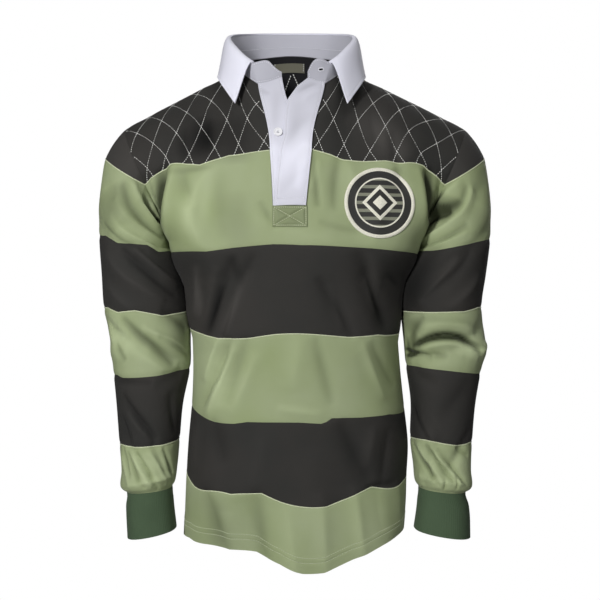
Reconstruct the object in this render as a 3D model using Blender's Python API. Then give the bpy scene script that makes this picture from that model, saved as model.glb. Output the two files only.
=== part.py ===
"""Long-sleeved rugby shirt in its worn shape, hollow, with nobody in it.

Metres, +Z up, +Y to the wearer's back, +X to the wearer's left. The origin is at the base of
the neck, between the two points where the shoulder seams meet the collar. Left and right are
the wearer's, and a side is 1 for the left and -1 for the right.

The body is a front and a back, each a surface through level sections, and each sleeve is a
surface through rings along the arm. Every cut piece is a closed wall between two seams of
those surfaces, 0.3 mm from the next. The tables are in millimetres.
"""

import bpy
import bmesh
import math
import numpy as np
from mathutils import Vector

MM = 0.001
SEAM_GAP = 0.3 * MM            # between two pieces sewn together

# ---------------------------------------------------------------- cloth
JERSEY = 1.4 * MM              # body and sleeve cloth
RIB_KNIT = 2.2 * MM            # cuffs
TWILL = 1.8 * MM               # collar and placket, two plies
QUILT_RISE = 0.9 * MM          # how far a quilted diamond puffs up between its stitches
QUILT_SHIFT = 1                # grid steps from the slot and the seam to the first crossing
LABEL = 0.8 * MM
PATCH = 1.1 * MM

# ---------------------------------------------------------------- body sections
# A section runs from the right edge over the middle to the left edge of the front or back.
# Its key points are the middle, the chest, the turn towards the arm, the hollow beside the
# arm and the edge, at these fractions of its half:
KEYS = (0.0, 0.36, 0.72, 0.86, 1.0)

# seam levels: 0 neck and shoulder, 1 yoke, 2 to 5 the band seams, 6 the hem
# Sections above the armpit: height at middle, chest, turn, edge; then x and y of each key.
UPPER = ("level", "z_mid", "z_chest", "z_turn", "z_edge", "y_mid", "x_chest", "y_chest",
         "x_turn", "y_turn", "x_hollow", "y_hollow", "x_edge", "y_edge")
FRONT_UPPER = (
    (1.0, -121, -132, -139, -166, -98, 84, -92, 173, -73, 198, -61, 217, -60),
    (1.5, -188, -195, -203, -222, -111, 84, -105, 184, -79, 188, -52, 192, -44),
    (1.88, -239, -243, -250, -252, -115, 81, -109, 163, -79, 177, -44, 179, 2),
    (2.0, -255, -259, -265, -267, -116, 80, -110, 157, -78, 172, -44, 175, 2),
)
BACK_UPPER = (
    (1.0, -136, -137, -142, -166, 112, 84, 110, 176, 84, 201, 66, 217, 58),
    (1.5, -196, -198, -207, -222, 117, 84, 113, 184, 84, 190, 62, 192, 44),
    (1.88, -243, -245, -251, -252, 117, 81, 111, 164, 82, 178, 47, 179, 2),
    (2.0, -259, -260, -265, -267, 116, 80, 110, 158, 80, 173, 46, 175, 2),
)
# Sections below the armpit are superellipses: half widths to the left and right, depths of
# the front and back, and the heights of the front at the middle, chest, turn and edge.
# z_tilt lowers the front's chest point on the left side and lifts it on the right.
LOWER = ("level", "left", "right", "front", "back", "z_mid", "z_chest", "z_turn", "z_edge",
         "z_back", "z_tilt")
TRUNK = (
    (2.35, 161, 163, 115, 112, -300, -302, -304, -300, -303, 0),
    (3.0, 156, 154, 113, 104, -380, -386, -384, -377, -386, 0),
    (3.5, 158, 152, 110, 101, -442, -447, -443, -434, -445, 0),
    (4.0, 164, 155, 108, 101, -503, -503, -499, -491, -503, 3),
    (4.5, 169, 159, 108, 104, -562, -556, -551, -540, -560, 2),
    (5.0, 167, 162, 109, 108, -619, -604, -601, -585, -613, -3),
    (5.5, 166, 164, 109, 110, -664, -646, -641, -628, -660, -6),
    (6.0, 163, 166, 109, 110, -712, -688, -680, -671, -706, -8),
)
ARMPIT = 1.88                  # level where armhole and side seam meet
SQUARENESS = 2.35              # of those superellipses, 2 being an ellipse
SIDE_Y = 2                     # where the side seams lie
KEY_ANGLES = (0, 31, 60, 76, 90)   # where the key points lie round one, in degrees

# ---------------------------------------------------------------- neck and shoulder
# Upper edge of the yokes, left half: the neckline up to the neck point, then the shoulder
# seam out to the tip. x, y, z; at the neckline also the velocity of the cloth leaving it.
FRONT_COLUMNS = 23             # from the placket to the armhole
BACK_COLUMNS = 26              # from the middle of the back to the armhole
SHOULDER_COLUMNS = 18          # of either, along the shoulder seam
FRONT_NECK = 1 - SHOULDER_COLUMNS / FRONT_COLUMNS
BACK_NECK = 1 - SHOULDER_COLUMNS / BACK_COLUMNS
NECKLINE = ("at", "x", "y", "z", "run_x", "run_y", "run_z")
FRONT_NECKLINE = (
    (0.0, 48, -63, -22, -12, -42, -95),
    (0.5, 70, -42, -3, -8, -75, -90),
    (1.0, 84, 6, 25, 0, -118, -62),
)
BACK_NECKLINE = (
    (0.0, 0, 82, 52, 0, 64, -150),
    (0.5, 51, 67, 44, 3, 94, -130),
    (1.0, 84, 6, 25, 0, 124, -60),
)
SHOULDER = ("at", "x", "y", "z", "run_front", "run_back", "run_z")
SHOULDER_SEAM = (
    (0.0, 84, 6, 25, -118, 124, -62),
    (0.11, 102, 8, 4, -118, 124, -50),
    (0.3, 137, 7, -15, -118, 122, -46),
    (0.65, 197, 5, -46, -112, 114, -34),
    (1.0, 255, 2, -78, -97, 97, -8),
)
NECK_OFFSET = -5               # the collar sits this far to the wearer's right

# Slot for the placket: its two edges at the yoke's top, at the yoke seam and at its foot.
SLOT_FOOT = 1.6                # level of the foot
SLOT = ("level", "right", "left")
SLOT_EDGES = ((1.0, -35, 24), (SLOT_FOOT, -31, 16))
# Inner edges of the two strips, as shares of the slot from its right edge to its left edge.
STRIPS = ("level", "under", "over")
PLACKET = (
    (0.0, 0.33, 0.72),
    (0.1, 0.37, 0.58),
    (0.3, 0.44, 0.44),
    (0.6, 0.60, 0.37),
    (0.82, 0.75, 0.35),
    (1.0, 0.88, 0.24),
    (SLOT_FOOT, 0.94, 0.05),
)
STRIP_COLUMNS = 3
STRIP_LIFT = 0.4 * MM          # of the under strip above the level of the yokes
SLOT_CROWN = (7, 2)            # how far the open slot's middle bows out, at levels 0 and 1
OPEN_LEVEL = 0.3               # the placket stands open above this level

# ---------------------------------------------------------------- sleeves
# Rings: outer edge (left sleeve, right sleeve, height), inner edge likewise, half depth and
# middle in y. Ring 2 to 6 are seams between bands, 7 is the end of the cuff.
RINGS = ("ring", "out_left", "out_right", "out_z", "in_left", "in_right", "in_z", "depth", "y")
SLEEVE_ROUND = 0.92            # 1 makes a ring an ellipse, less makes it squarer
SLEEVE_RADIUS = 62             # mean, for folds given in degrees
SLEEVE = (
    (1.45, 291, 291, -186, 182, 183, -263, 67, -2),
    (2.0, 290, 291, -237, 179, 180, -274, 68, -4),
    (2.5, 284, 287, -293, 169, 170, -312, 67, -6),
    (3.0, 277, 283, -345, 162, 162, -350, 64, -9),
    (3.5, 281, 271, -400, 163, 158, -396, 62, -12),
    (4.0, 274, 268, -444, 166, 158, -434, 59, -15),
    (4.5, 265, 262, -496, 174, 166, -486, 55, -20),
    (5.0, 260, 257, -547, 176, 170, -537, 50, -26),
    (5.6, 257, 253, -588, 177, 175, -580, 43, -31),
    (6.0, 251, 247, -612, 180, 178, -605, 37, -35),
    (6.3, 253, 246, -632, 179, 178, -625, 38, -37),
    (7.0, 254, 243, -677, 173, 173, -664, 40, -43),
)
CAP_DROP = (29, 0, -43)        # from the shoulder tip to the lower edge of the sleeve cap
CAP_TIP = 1.0                  # height of the cap piece at its two pointed ends
CAP_BULGE = (2.0, 0, 1.25)     # how far the cap's middle stands out

# ---------------------------------------------------------------- collar
# Stations from the middle of the back (0) to the end of the stand (1), left half: top of
# the stand, where the leaf folds over, and the leaf's free edge.
COLLAR = ("at", "fold_x", "fold_y", "fold_z", "leaf_x", "leaf_y", "leaf_z")
COLLAR_EDGE = (
    (0.00, 0, 91, 88, 0, 118, 42),
    (0.25, 60, 74, 83, 74, 98, 36),
    (0.50, 93, 12, 63, 107, 12, 6),
    (0.70, 82, -34, 36, 104, -38, -14),
    (0.88, 55, -62, 8, 80, -74, -53),
    (1.00, 24, -67, -5, 80, -74, -53),
)
LEAF_END = 0.88                # station where the leaf ends
TAB_END = (24, -65, -12)       # foot of the stand's free end
TAB_SAG = 2                    # how far the stand's foot sags there
LEAF_ROLL = 34                 # how strongly the leaf rolls outwards at the fold
LEAF_RISE = 26                 # and upwards
LEAF_ROWS = (0, 0.09, 0.2, 0.36, 0.56, 0.78, 1)    # shares of the way from fold to edge
LEAF_GAP = 0.8                 # of the leaf above the stand at the fold
LEAF_COLUMNS = 13
STAND_COLUMNS = 16

# ---------------------------------------------------------------- trimmings
BUTTON_RADIUS = 6.2 * MM
BUTTON_THICK = 2.4 * MM
BUTTON_TAPER = 0.88            # its face over its back
BUTTON_LEVEL = 0.79            # on the under strip
BUTTON_SHARE = 0.215           # of the slot's width
LABEL_LEVELS = (0.06, 0.10, 0.125, 0.14)
LABEL_COLUMNS = (-2.2, 1.5)    # from the middle of the back
PATCH_LEVEL = 1.5              # middle of the chest patch
PATCH_ACROSS = 0.49
PATCH_TALL = 0.36              # its half height, in levels
PATCH_WIDE = 0.166             # its half width, as a fraction of the front
PATCH_STEPS = 7
PATCH_LIFT = 0.9 * MM          # over the panel's creases

# ---------------------------------------------------------------- folds
# Soft ridges (depth above 0) and troughs (below 0) between two points on the cloth.
# Body: ends as x and z. Sleeve: ends as degrees round the arm and z, where 0 is the outer
# side, 90 the front, 180 the inner side and -90 the back.
FOLD = ("from_a", "from_z", "to_a", "to_z", "width", "depth")
FOLD_END = 0.12                # how far into a fold's taper its ends lie
SIDE_HOLD = 0.12               # folds die out over this fraction beside the side seams
FRONT_FOLDS = (
    (-148, -175, -110, -250, 16, -3.0),
    (152, -170, 118, -240, 16, -2.5),
    (-140, -365, -112, -300, 12, -4.0),
    (-112, -378, -84, -300, 14, -3.0),
    (126, -372, 96, -300, 13, -4.0),
    (70, -384, 50, -310, 15, -2.5),
    (-140, -490, -96, -410, 15, -3.0),
    (138, -480, 100, -415, 15, -2.5),
    (-75, -620, -58, -700, 17, -7.0),
    (-100, -640, -104, -700, 14, 3.0),
    (112, -610, 122, -700, 16, -7.0),
    (30, -560, 14, -720, 26, 4.0),
    (-30, -140, -52, -245, 22, 2.0),
)
BACK_FOLDS = (
    (-150, -180, -108, -262, 16, -3.5),
    (150, -180, 112, -258, 16, -3.0),
    (-120, -300, -60, -382, 16, -3.5),
    (124, -296, 58, -390, 17, -4.0),
    (-136, -350, -20, -418, 15, -3.0),
    (130, -356, 24, -424, 16, -3.0),
    (-60, -600, -52, -700, 18, -6.0),
    (52, -590, 62, -700, 18, -6.0),
)
SLEEVE_FOLDS = (
    (30, -150, 120, -262, 13, -4.0),
    (20, -215, 118, -300, 12, -3.5),
    (-30, -160, -120, -268, 14, -4.0),
    (-18, -230, -112, -318, 13, -3.5),
    (20, -364, 84, -404, 11, -5.0),
    (150, -424, 84, -404, 11, -4.5),
    (10, -408, 60, -412, 14, 4.0),
    (110, -452, 170, -430, 10, -3.5),
    (-30, -372, -96, -398, 12, -4.5),
    (-160, -428, -96, -398, 12, -4.0),
    (40, -520, 96, -590, 10, -3.5),
    (100, -530, 140, -598, 9, -3.0),
    (-40, -530, -80, -596, 10, -3.5),
    (-120, -540, -150, -596, 10, -3.0),
)

# ---------------------------------------------------------------- mesh rows
YOKE_ROWS = 8
CHEST_LEVELS = (1.0, 1.2, 1.4, SLOT_FOOT, 1.75, ARMPIT, 2.0)
BAND_ROWS = 4
SLEEVE_ROWS = (4, 3, 3, 3, 2, 2)     # of each band and the cuff
CAP_ROWS = 2

# ---------------------------------------------------------------- colours
CHARCOAL = (0.034, 0.034, 0.032)
SAGE = (0.275, 0.333, 0.205)
WHITE = (0.79, 0.79, 0.86)
BOTTLE_GREEN = (0.062, 0.115, 0.055)
BUTTON_WHITE = (0.74, 0.74, 0.76)
LABEL_GREY = (0.155, 0.15, 0.11)
PATCH_CREAM = (0.80, 0.78, 0.64)


# ================================================================ curves
def column(table, names, name):
    """One named column of a table."""
    return np.array([row[names.index(name)] for row in table], float)


def columns(table, names, *wanted):
    """Several named columns side by side."""
    return np.stack([column(table, names, name) for name in wanted], axis=-1)


def through(knots, values, at):
    """Smooth curve through values at knots, read at the places in at."""
    knots = np.asarray(knots, float)
    values = np.asarray(values, float)
    at = np.clip(np.asarray(at, float), knots[0], knots[-1])
    spread = (slice(None),) + (None,) * (values.ndim - 1)
    step = np.diff(knots)
    rise = np.diff(values, axis=0) / step[spread]
    slope = np.empty_like(values)
    slope[0] = rise[0]
    slope[-1] = rise[-1]
    before, after = step[:-1][spread], step[1:][spread]
    slope[1:-1] = (rise[:-1] * after + rise[1:] * before) / (before + after)
    i = np.clip(np.searchsorted(knots, at, side="right") - 1, 0, len(step) - 1)
    t = ((at - knots[i]) / step[i])[spread]
    width = step[i][spread]
    return hermite(values[i], slope[i] * width, values[i + 1], slope[i + 1] * width, t)


def hermite(start, leave, end, arrive, t):
    """Cubic from start to end, with the given velocities."""
    return ((2 * t ** 3 - 3 * t ** 2 + 1) * start + (t ** 3 - 2 * t ** 2 + t) * leave
            + (3 * t ** 2 - 2 * t ** 3) * end + (t ** 3 - t ** 2) * arrive)


def unit(vectors):
    """The vectors at length 1."""
    return vectors / np.maximum(np.linalg.norm(vectors, axis=-1, keepdims=True), 1e-12)


# ================================================================ body surface
def upper_keys(table, side):
    """Key points of one half of the sections above the armpit."""
    x = columns(table, UPPER, "x_chest", "x_turn", "x_hollow", "x_edge")
    y = columns(table, UPPER, "y_mid", "y_chest", "y_turn", "y_hollow", "y_edge")
    z = columns(table, UPPER, "z_mid", "z_chest", "z_turn", "z_edge")
    z_hollow = 0.45 * z[:, 2] + 0.55 * z[:, 3]
    x = np.concatenate([0 * x[:, :1], side * x], axis=1)
    z = np.stack([z[:, 0], z[:, 1], z[:, 2], z_hollow, z[:, 3]], axis=1)
    return np.stack([x, y, z], axis=-1)


def lower_keys(side, back):
    """Key points of the superellipse sections below the armpit."""
    half = column(TRUNK, LOWER, "left" if side > 0 else "right")
    depth = column(TRUNK, LOWER, "back") if back else -column(TRUNK, LOWER, "front")
    angle = np.radians(KEY_ANGLES)
    power = 2 / SQUARENESS
    x = side * half[:, None] * np.sin(angle) ** power
    y = depth[:, None] * np.cos(angle) ** power + SIDE_Y * np.sin(angle) ** 2
    z = columns(TRUNK, LOWER, "z_mid", "z_chest", "z_turn", "z_edge")
    z[:, 1] += side * column(TRUNK, LOWER, "z_tilt")
    if back:
        z_back = column(TRUNK, LOWER, "z_back")
        z = np.stack([z_back, z_back, 0.5 * (z_back + z[:, 3]), z[:, 3]], axis=1)
    z_hollow = 0.4 * z[:, 2] + 0.6 * z[:, 3]
    z = np.stack([z[:, 0], z[:, 1], z[:, 2], z_hollow, z[:, 3]], axis=1)
    return np.stack([x, y, z], axis=-1)


def section_table(back):
    """Levels and key points, right edge to left edge, of all sections of front or back."""
    upper = BACK_UPPER if back else FRONT_UPPER
    levels = np.concatenate([column(upper, UPPER, "level"), column(TRUNK, LOWER, "level")])
    left = np.concatenate([upper_keys(upper, 1), lower_keys(1, back)])
    right = np.concatenate([upper_keys(upper, -1), lower_keys(-1, back)])
    return levels, np.concatenate([right[:, :0:-1], left], axis=1) * MM


FULL_KEYS = tuple(-k for k in KEYS[:0:-1]) + KEYS
SECTIONS = {back: section_table(back) for back in (False, True)}


def on_section(back, level, across):
    """Points of a section, across from -1 (right edge) to 1 (left edge)."""
    levels, keys = SECTIONS[back]
    return through(FULL_KEYS, through(levels, keys, [level])[0], across)


def slot_edge(level, side):
    """Where the placket's slot has its edge, as a fraction of the front's half."""
    edge = np.interp(level, column(SLOT_EDGES, SLOT, "level"),
                     column(SLOT_EDGES, SLOT, "left" if side > 0 else "right"))
    chest = through(SECTIONS[False][0], SECTIONS[False][1], [max(level, 1.0)])[0][5, 0] / MM
    return KEYS[1] * edge / chest


def front_across(level, side, share):
    """Fraction across the front for a share from 0 (slot edge) to 1 (armhole or side seam)."""
    inner = slot_edge(min(level, SLOT_FOOT), side)
    return inner + (side - inner) * share


def top_edge(back, side, share):
    """Neckline and shoulder seam, and the velocity of the cloth there."""
    table, neck = (BACK_NECKLINE, BACK_NECK) if back else (FRONT_NECKLINE, FRONT_NECK)
    share = np.asarray(share, float)
    at = column(table, NECKLINE, "at")
    round_neck = share / neck
    point = through(at, columns(table, NECKLINE, "x", "y", "z"), round_neck)
    leave = through(at, columns(table, NECKLINE, "run_x", "run_y", "run_z"), round_neck)
    at = column(SHOULDER_SEAM, SHOULDER, "at")
    seam = (share - neck) / (1 - neck)
    shoulder = through(at, columns(SHOULDER_SEAM, SHOULDER, "x", "y", "z"), seam)
    run = through(at, columns(SHOULDER_SEAM, SHOULDER,
                              "run_back" if back else "run_front", "run_z"), seam)
    beyond = (seam > 0)[:, None]
    point = np.where(beyond, shoulder, point)
    leave = np.where(beyond, np.stack([0 * seam, run[:, 0], run[:, 1]], axis=-1), leave)
    mirror = np.array([side, 1, 1])
    point = point * mirror
    point[:, 0] += NECK_OFFSET * (1 - np.clip(seam, 0, 1))
    return point * MM, leave * mirror * MM


def yoke_row(back, side, level, share):
    """A row of a yoke between its upper edge (level 0) and its lower seam (level 1)."""
    start, leave = top_edge(back, side, share)
    across = side * share if back else front_across(1.0, side, share)
    end = on_section(back, 1.0, across)
    near = 0.02
    arrive = (on_section(back, 1.0 + near, across) - end) / near
    return hermite(start, leave, end, arrive, level)


def slot_row(level, share):
    """A row of the placket's ground, from the slot's right edge (0) to its left edge (1)."""
    if level >= 1.0:
        right, left = slot_edge(level, -1), slot_edge(level, 1)
        return on_section(False, level, right + (left - right) * share)
    right = yoke_row(False, -1, level, np.zeros(1))[0]
    left = yoke_row(False, 1, level, np.zeros(1))[0]
    share = np.asarray(share, float)[:, None]
    crown = np.array([0, -1, 0]) * np.interp(level, (0, 1), SLOT_CROWN) * MM
    return right + (left - right) * share + crown * 4 * share * (1 - share)


def fold_height(folds, across, height, scale=1.0):
    """Sum of all folds at the given places, in metres."""
    total = np.zeros_like(height)
    for row in folds:
        fold = dict(zip(FOLD, row))
        run = np.array([(fold["to_a"] - fold["from_a"]) * scale, fold["to_z"] - fold["from_z"]])
        length = np.hypot(*run)
        run = run / length
        off_a = (across - fold["from_a"]) * scale
        off_z = height - fold["from_z"]
        along = (off_a * run[0] + off_z * run[1]) / length
        beside = (off_a * run[1] - off_z * run[0]) / fold["width"]
        beyond = np.maximum(np.maximum(-along, along - 1), 0) * length / fold["width"]
        phase = np.clip(FOLD_END + (1 - 2 * FOLD_END) * along, 0, 1)
        taper = np.sin(np.pi * phase) ** 0.7
        total += fold["depth"] * taper * np.exp(-beside ** 2 - beyond ** 2)
    return total * MM


def grid_normals(points, away, wrap=False):
    """Unit normals of a grid of points, on the side that most of it has the way away lies."""
    rows = np.gradient(points, axis=0)
    if wrap:
        cols = np.roll(points, -1, axis=1) - np.roll(points, 1, axis=1)
    else:
        cols = np.gradient(points, axis=1)
    normals = unit(np.cross(rows, cols))
    return normals if np.sum(normals * away) > 0 else -normals


def body_grid(back):
    """Points and outward normals of the whole front or back, rows by columns."""
    count = BACK_COLUMNS if back else FRONT_COLUMNS
    share = np.linspace(0, 1, count + 1)
    rows = []
    for level in BODY_LEVELS:
        if back:
            inner = share[1:]
            if level < 1.0:
                left = yoke_row(True, 1, level, share)
                right = yoke_row(True, -1, level, inner)
            else:
                left = on_section(True, level, share)
                right = on_section(True, level, -inner)
            row = np.concatenate([right[::-1], left])
        else:
            if level < 1.0:
                left = yoke_row(False, 1, level, share)
                right = yoke_row(False, -1, level, share)
            else:
                left = on_section(False, level, front_across(level, 1, share))
                right = on_section(False, level, front_across(level, -1, share))
            middle = slot_row(min(level, SLOT_FOOT), SLOT_SHARES)
            if level > SLOT_FOOT:
                ends = slot_edge(SLOT_FOOT, -1), slot_edge(SLOT_FOOT, 1)
                middle = on_section(False, level, ends[0] + (ends[1] - ends[0]) * SLOT_SHARES)
            row = np.concatenate([right[::-1], middle, left])
        rows.append(row)
    points = np.array(rows)
    away = 1 if back else -1
    normals = grid_normals(points, away * np.array([0, 1, 0]))
    edge = np.minimum(np.abs(np.linspace(-1, 1, points.shape[1])), 1)
    hold = np.clip((1 - edge) / SIDE_HOLD, 0, 1)
    folds = BACK_FOLDS if back else FRONT_FOLDS
    raised = fold_height(folds, points[..., 0] / MM, points[..., 2] / MM) * hold
    points = points + normals * raised[..., None]
    return points, grid_normals(points, away * np.array([0, 1, 0]))


def make_levels():
    """Levels of all rows of the body, from the neck to the hem."""
    levels = list(np.linspace(0, 1, YOKE_ROWS + 1)) + list(CHEST_LEVELS[1:])
    for band in range(2, 6):
        levels += list(np.linspace(band, band + 1, BAND_ROWS + 1)[1:])
    return np.array(levels)


BODY_LEVELS = make_levels()
SLOT_SHARES = np.array([0.25, 0.5, 0.75])


def level_row(level):
    """Index of the row at a level."""
    return int(np.argmin(np.abs(BODY_LEVELS - level)))


# ================================================================ sleeve surface
def round_ring(row, side, degrees):
    """One ring of the sleeve table, at the angles in degrees."""
    name = "left" if side > 0 else "right"
    outer = np.array([row[RINGS.index("out_" + name)], row[RINGS.index("out_z")]], float)
    inner = np.array([row[RINGS.index("in_" + name)], row[RINGS.index("in_z")]], float)
    depth, middle = row[RINGS.index("depth")], row[RINGS.index("y")]
    angle = np.radians(degrees)
    lift, front = np.cos(angle), np.sin(angle)
    lift = np.sign(lift) * np.abs(lift) ** SLEEVE_ROUND
    front = np.sign(front) * np.abs(front) ** SLEEVE_ROUND
    centre, reach = (outer + inner) / 2, (outer - inner) / 2
    x = side * (centre[0] + reach[0] * lift)
    z = centre[1] + reach[1] * lift
    y = middle - depth * front
    return np.stack([x, y, z], axis=-1) * MM


def sleeve_grid(side, armhole, degrees):
    """Cap points, sleeve points and normals, from the armhole's points round the arm."""
    lift = np.cos(np.radians(degrees))
    width = np.maximum(lift, 0)
    mirror = np.array([side, 1, 1])
    tip = (np.abs(lift) < 1e-6) * CAP_TIP * MM
    cap_edge = armhole + width[:, None] * CAP_DROP * mirror * MM
    cap_edge = cap_edge + tip[:, None] * np.array([0, 0, -1])
    rings = [cap_edge] + [round_ring(row, side, degrees) for row in SLEEVE]
    at = np.concatenate([[1.0], column(SLEEVE, RINGS, "ring")])
    full = through(np.concatenate([[0.0], at]), np.array([armhole] + rings), SLEEVE_LEVELS)
    plain = through(at, np.array(rings), SLEEVE_LEVELS)
    blend = (width ** 2)[None, :, None]
    points = full * blend + plain * (1 - blend)
    down = np.linspace(0, 1, CAP_ROWS + 1)[:, None, None]
    bulge = width[:, None] * CAP_BULGE * mirror * MM
    cap = armhole + (cap_edge - armhole) * down + bulge * np.sin(np.pi * down)
    away = points - points.mean(axis=1, keepdims=True)
    normals = grid_normals(points, away, wrap=True)
    turn = np.where(degrees > 180, degrees - 360, degrees)
    angle = np.broadcast_to(turn, points.shape[:2])
    raised = fold_height(SLEEVE_FOLDS, angle, points[..., 2] / MM,
                         math.radians(1) * SLEEVE_RADIUS)
    ends = np.clip((SLEEVE_LEVELS - 1.0) / 0.25, 0, 1) * np.clip((6.0 - SLEEVE_LEVELS) / 0.15, 0, 1)
    inner_side = np.clip((170 - np.abs(turn)) / 25, 0, 1)   # folds die out beside the body
    raised = raised * ends[:, None] * inner_side
    points = points + normals * raised[..., None]
    normals = grid_normals(points, away, wrap=True)
    cap_normals = grid_normals(cap, cap[0] - armhole.mean(axis=0))
    return cap, cap_normals, points, normals


def sleeve_levels():
    """Levels of all rows of a sleeve, from the cap's edge to the end of the cuff."""
    levels = [1.0]
    for band, rows in enumerate(SLEEVE_ROWS, start=1):
        levels += list(np.linspace(band, band + 1, rows + 1)[1:])
    return np.array(levels)


SLEEVE_LEVELS = sleeve_levels()
ARMHOLE_DEGREES = np.concatenate([
    np.linspace(0, 90, YOKE_ROWS + 1),
    90 + 90 * (np.array(CHEST_LEVELS[1:-1]) - 1.0) / (ARMPIT - 1.0)])
RING_DEGREES = np.concatenate([ARMHOLE_DEGREES, 360 - ARMHOLE_DEGREES[-2:0:-1]])


# ================================================================ walls
class Wall:
    """Collects the points of a grid and makes one closed wall of chosen cells."""

    def __init__(self, points, normals, thickness, cells=None, wrap=False, steep=None):
        self.points = np.array(points, float)
        self.normals = np.array(normals, float)
        self.thickness = thickness
        rows, cols = self.points.shape[:2]
        self.wrap = wrap
        shape = (rows - 1, cols if wrap else cols - 1)
        self.cells = np.ones(shape, bool) if cells is None else cells
        self.steep = np.zeros(shape, bool) if steep is None else steep
        self.rise = np.zeros((rows, cols))

    def corners(self, i, j):
        """The four corners of a cell, in order round it."""
        cols = self.points.shape[1]
        k = (j + 1) % cols
        return (i, j), (i, k), (i + 1, k), (i + 1, j)

    def triangles(self, i, j):
        """A cell as two triangles, cut along one or the other diagonal."""
        a, b, c, d = self.corners(i, j)
        if self.steep[i, j]:
            return (a, b, d), (b, c, d)
        return (a, b, c), (a, c, d)

    def rim(self):
        """Edges of the chosen cells that only one cell has, in that cell's direction."""
        seen = {}
        for i, j in zip(*np.nonzero(self.cells)):
            ring = self.corners(i, j)
            for start, end in zip(ring, ring[1:] + ring[:1]):
                key = frozenset((start, end))
                seen[key] = None if key in seen else (start, end)
        return [edge for edge in seen.values() if edge]

    def build(self, name, collection, material, gap=SEAM_GAP):
        """The closed wall as an object: outer skin, inner skin and rim."""
        used = sorted({corner for i, j in zip(*np.nonzero(self.cells))
                       for corner in self.corners(i, j)})
        index = {corner: n for n, corner in enumerate(used)}
        rim = self.rim()
        i, j = next(zip(*np.nonzero(self.cells)))
        a, b, c, d = [self.points[k] for k in self.corners(i, j)]
        faces_out = np.dot(np.cross(c - a, d - b), self.normals[i, j]) > 0
        inwards = {}
        for start, end in rim:
            along = unit(self.points[end] - self.points[start])
            for corner in (start, end):
                inward = np.cross(self.normals[corner], along) * (1 if faces_out else -1)
                inwards.setdefault(corner, []).append(unit(inward))
        outer, inner = [], []
        for corner in used:
            place = self.points[corner]
            pulls = inwards.get(corner, [])
            if len(pulls) == 2:
                share = max(1 + float(np.dot(pulls[0], pulls[1])), 0.35)
                place = place + (pulls[0] + pulls[1]) / share * gap / 2
            normal = self.normals[corner]
            outer.append(place + normal * self.rise[corner])
            inner.append(place - normal * self.thickness)
        faces = []
        shift = len(used)
        for i, j in zip(*np.nonzero(self.cells)):
            for corners in self.triangles(i, j):
                face = [index[corner] for corner in corners]
                faces.append(face if faces_out else face[::-1])
                back = [n + shift for n in face]
                faces.append(back[::-1] if faces_out else back)
        for start, end in rim:
            a, b = index[start], index[end]
            quad = [b, a, a + shift, b + shift]
            faces.append(quad if faces_out else quad[::-1])
        mesh = bpy.data.meshes.new(name)
        mesh.from_pydata([tuple(p) for p in outer + inner], [], faces)
        mesh.validate()
        mesh.shade_smooth()
        mesh.set_sharp_from_angle(angle=math.radians(50))
        mesh.materials.append(material)
        obj = bpy.data.objects.new(name, mesh)
        collection.objects.link(obj)
        return obj


def fabric(name, colour, roughness=0.85):
    """A plain Principled material."""
    material = bpy.data.materials.new(name)
    material.use_nodes = True
    shader = material.node_tree.nodes["Principled BSDF"]
    shader.inputs["Base Color"].default_value = (*colour, 1)
    shader.inputs["Roughness"].default_value = roughness
    shader.inputs["Metallic"].default_value = 0.0
    return material


# ================================================================ pieces
def quilt(wall, first_column):
    """Raise the diamonds of a quilted wall between stitches that follow the cells' diagonals.

    Columns count away from first_column and rows up from the seam; a diamond is four of each.
    """
    rows, cols = wall.points.shape[:2]

    def place(i, j):
        return abs(j - first_column) - QUILT_SHIFT, rows - 1 - i - QUILT_SHIFT

    def stitched(start, end):
        sums = start[0] + start[1], end[0] + end[1]
        differences = start[0] - start[1], end[0] - end[1]
        return any(p == q and p % 4 == 0 for p, q in (sums, differences))

    for i in range(rows):
        for j in range(cols):
            across, up = place(i, j)
            steps = [min(n % 4, -n % 4) for n in (across + up, across - up)]
            if 0 < i < rows - 1 and 0 < j < cols - 1:      # sewn flat along its edges
                wall.rise[i, j] = QUILT_RISE * (0.0, 0.7, 1.0)[min(steps)]
    for i in range(rows - 1):
        for j in range(cols - 1):
            wall.steep[i, j] = stitched(place(i, j + 1), place(i + 1, j))


def on_chords(points):
    """Every second point moved onto the straight line between its neighbours."""
    flat = points.copy()
    flat[1:-1:2] = (points[:-2:2] + points[2::2]) / 2
    return flat


def sewn_grids():
    """The front's and the back's grids, keyed by back, meeting at side and shoulder seams."""
    grids = {back: body_grid(back) for back in (False, True)}
    side_rows = slice(level_row(ARMPIT), None)
    for end in (0, -1):
        front, rear = grids[False], grids[True]
        seam = unit(front[1][side_rows, end] + rear[1][side_rows, end])
        front[1][side_rows, end] = seam
        rear[1][side_rows, end] = seam
        middle = (front[0][side_rows, end] + rear[0][side_rows, end]) / 2
        front[0][side_rows, end] = middle
        rear[0][side_rows, end] = middle
    steps = np.arange(SHOULDER_COLUMNS + 1)
    for front_cols, back_cols in ((steps, steps), (-1 - steps, -1 - steps)):
        seam = unit(grids[False][1][0, front_cols] + grids[True][1][0, back_cols])
        grids[False][1][0, front_cols] = seam
        grids[True][1][0, back_cols] = seam
    return grids


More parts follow.
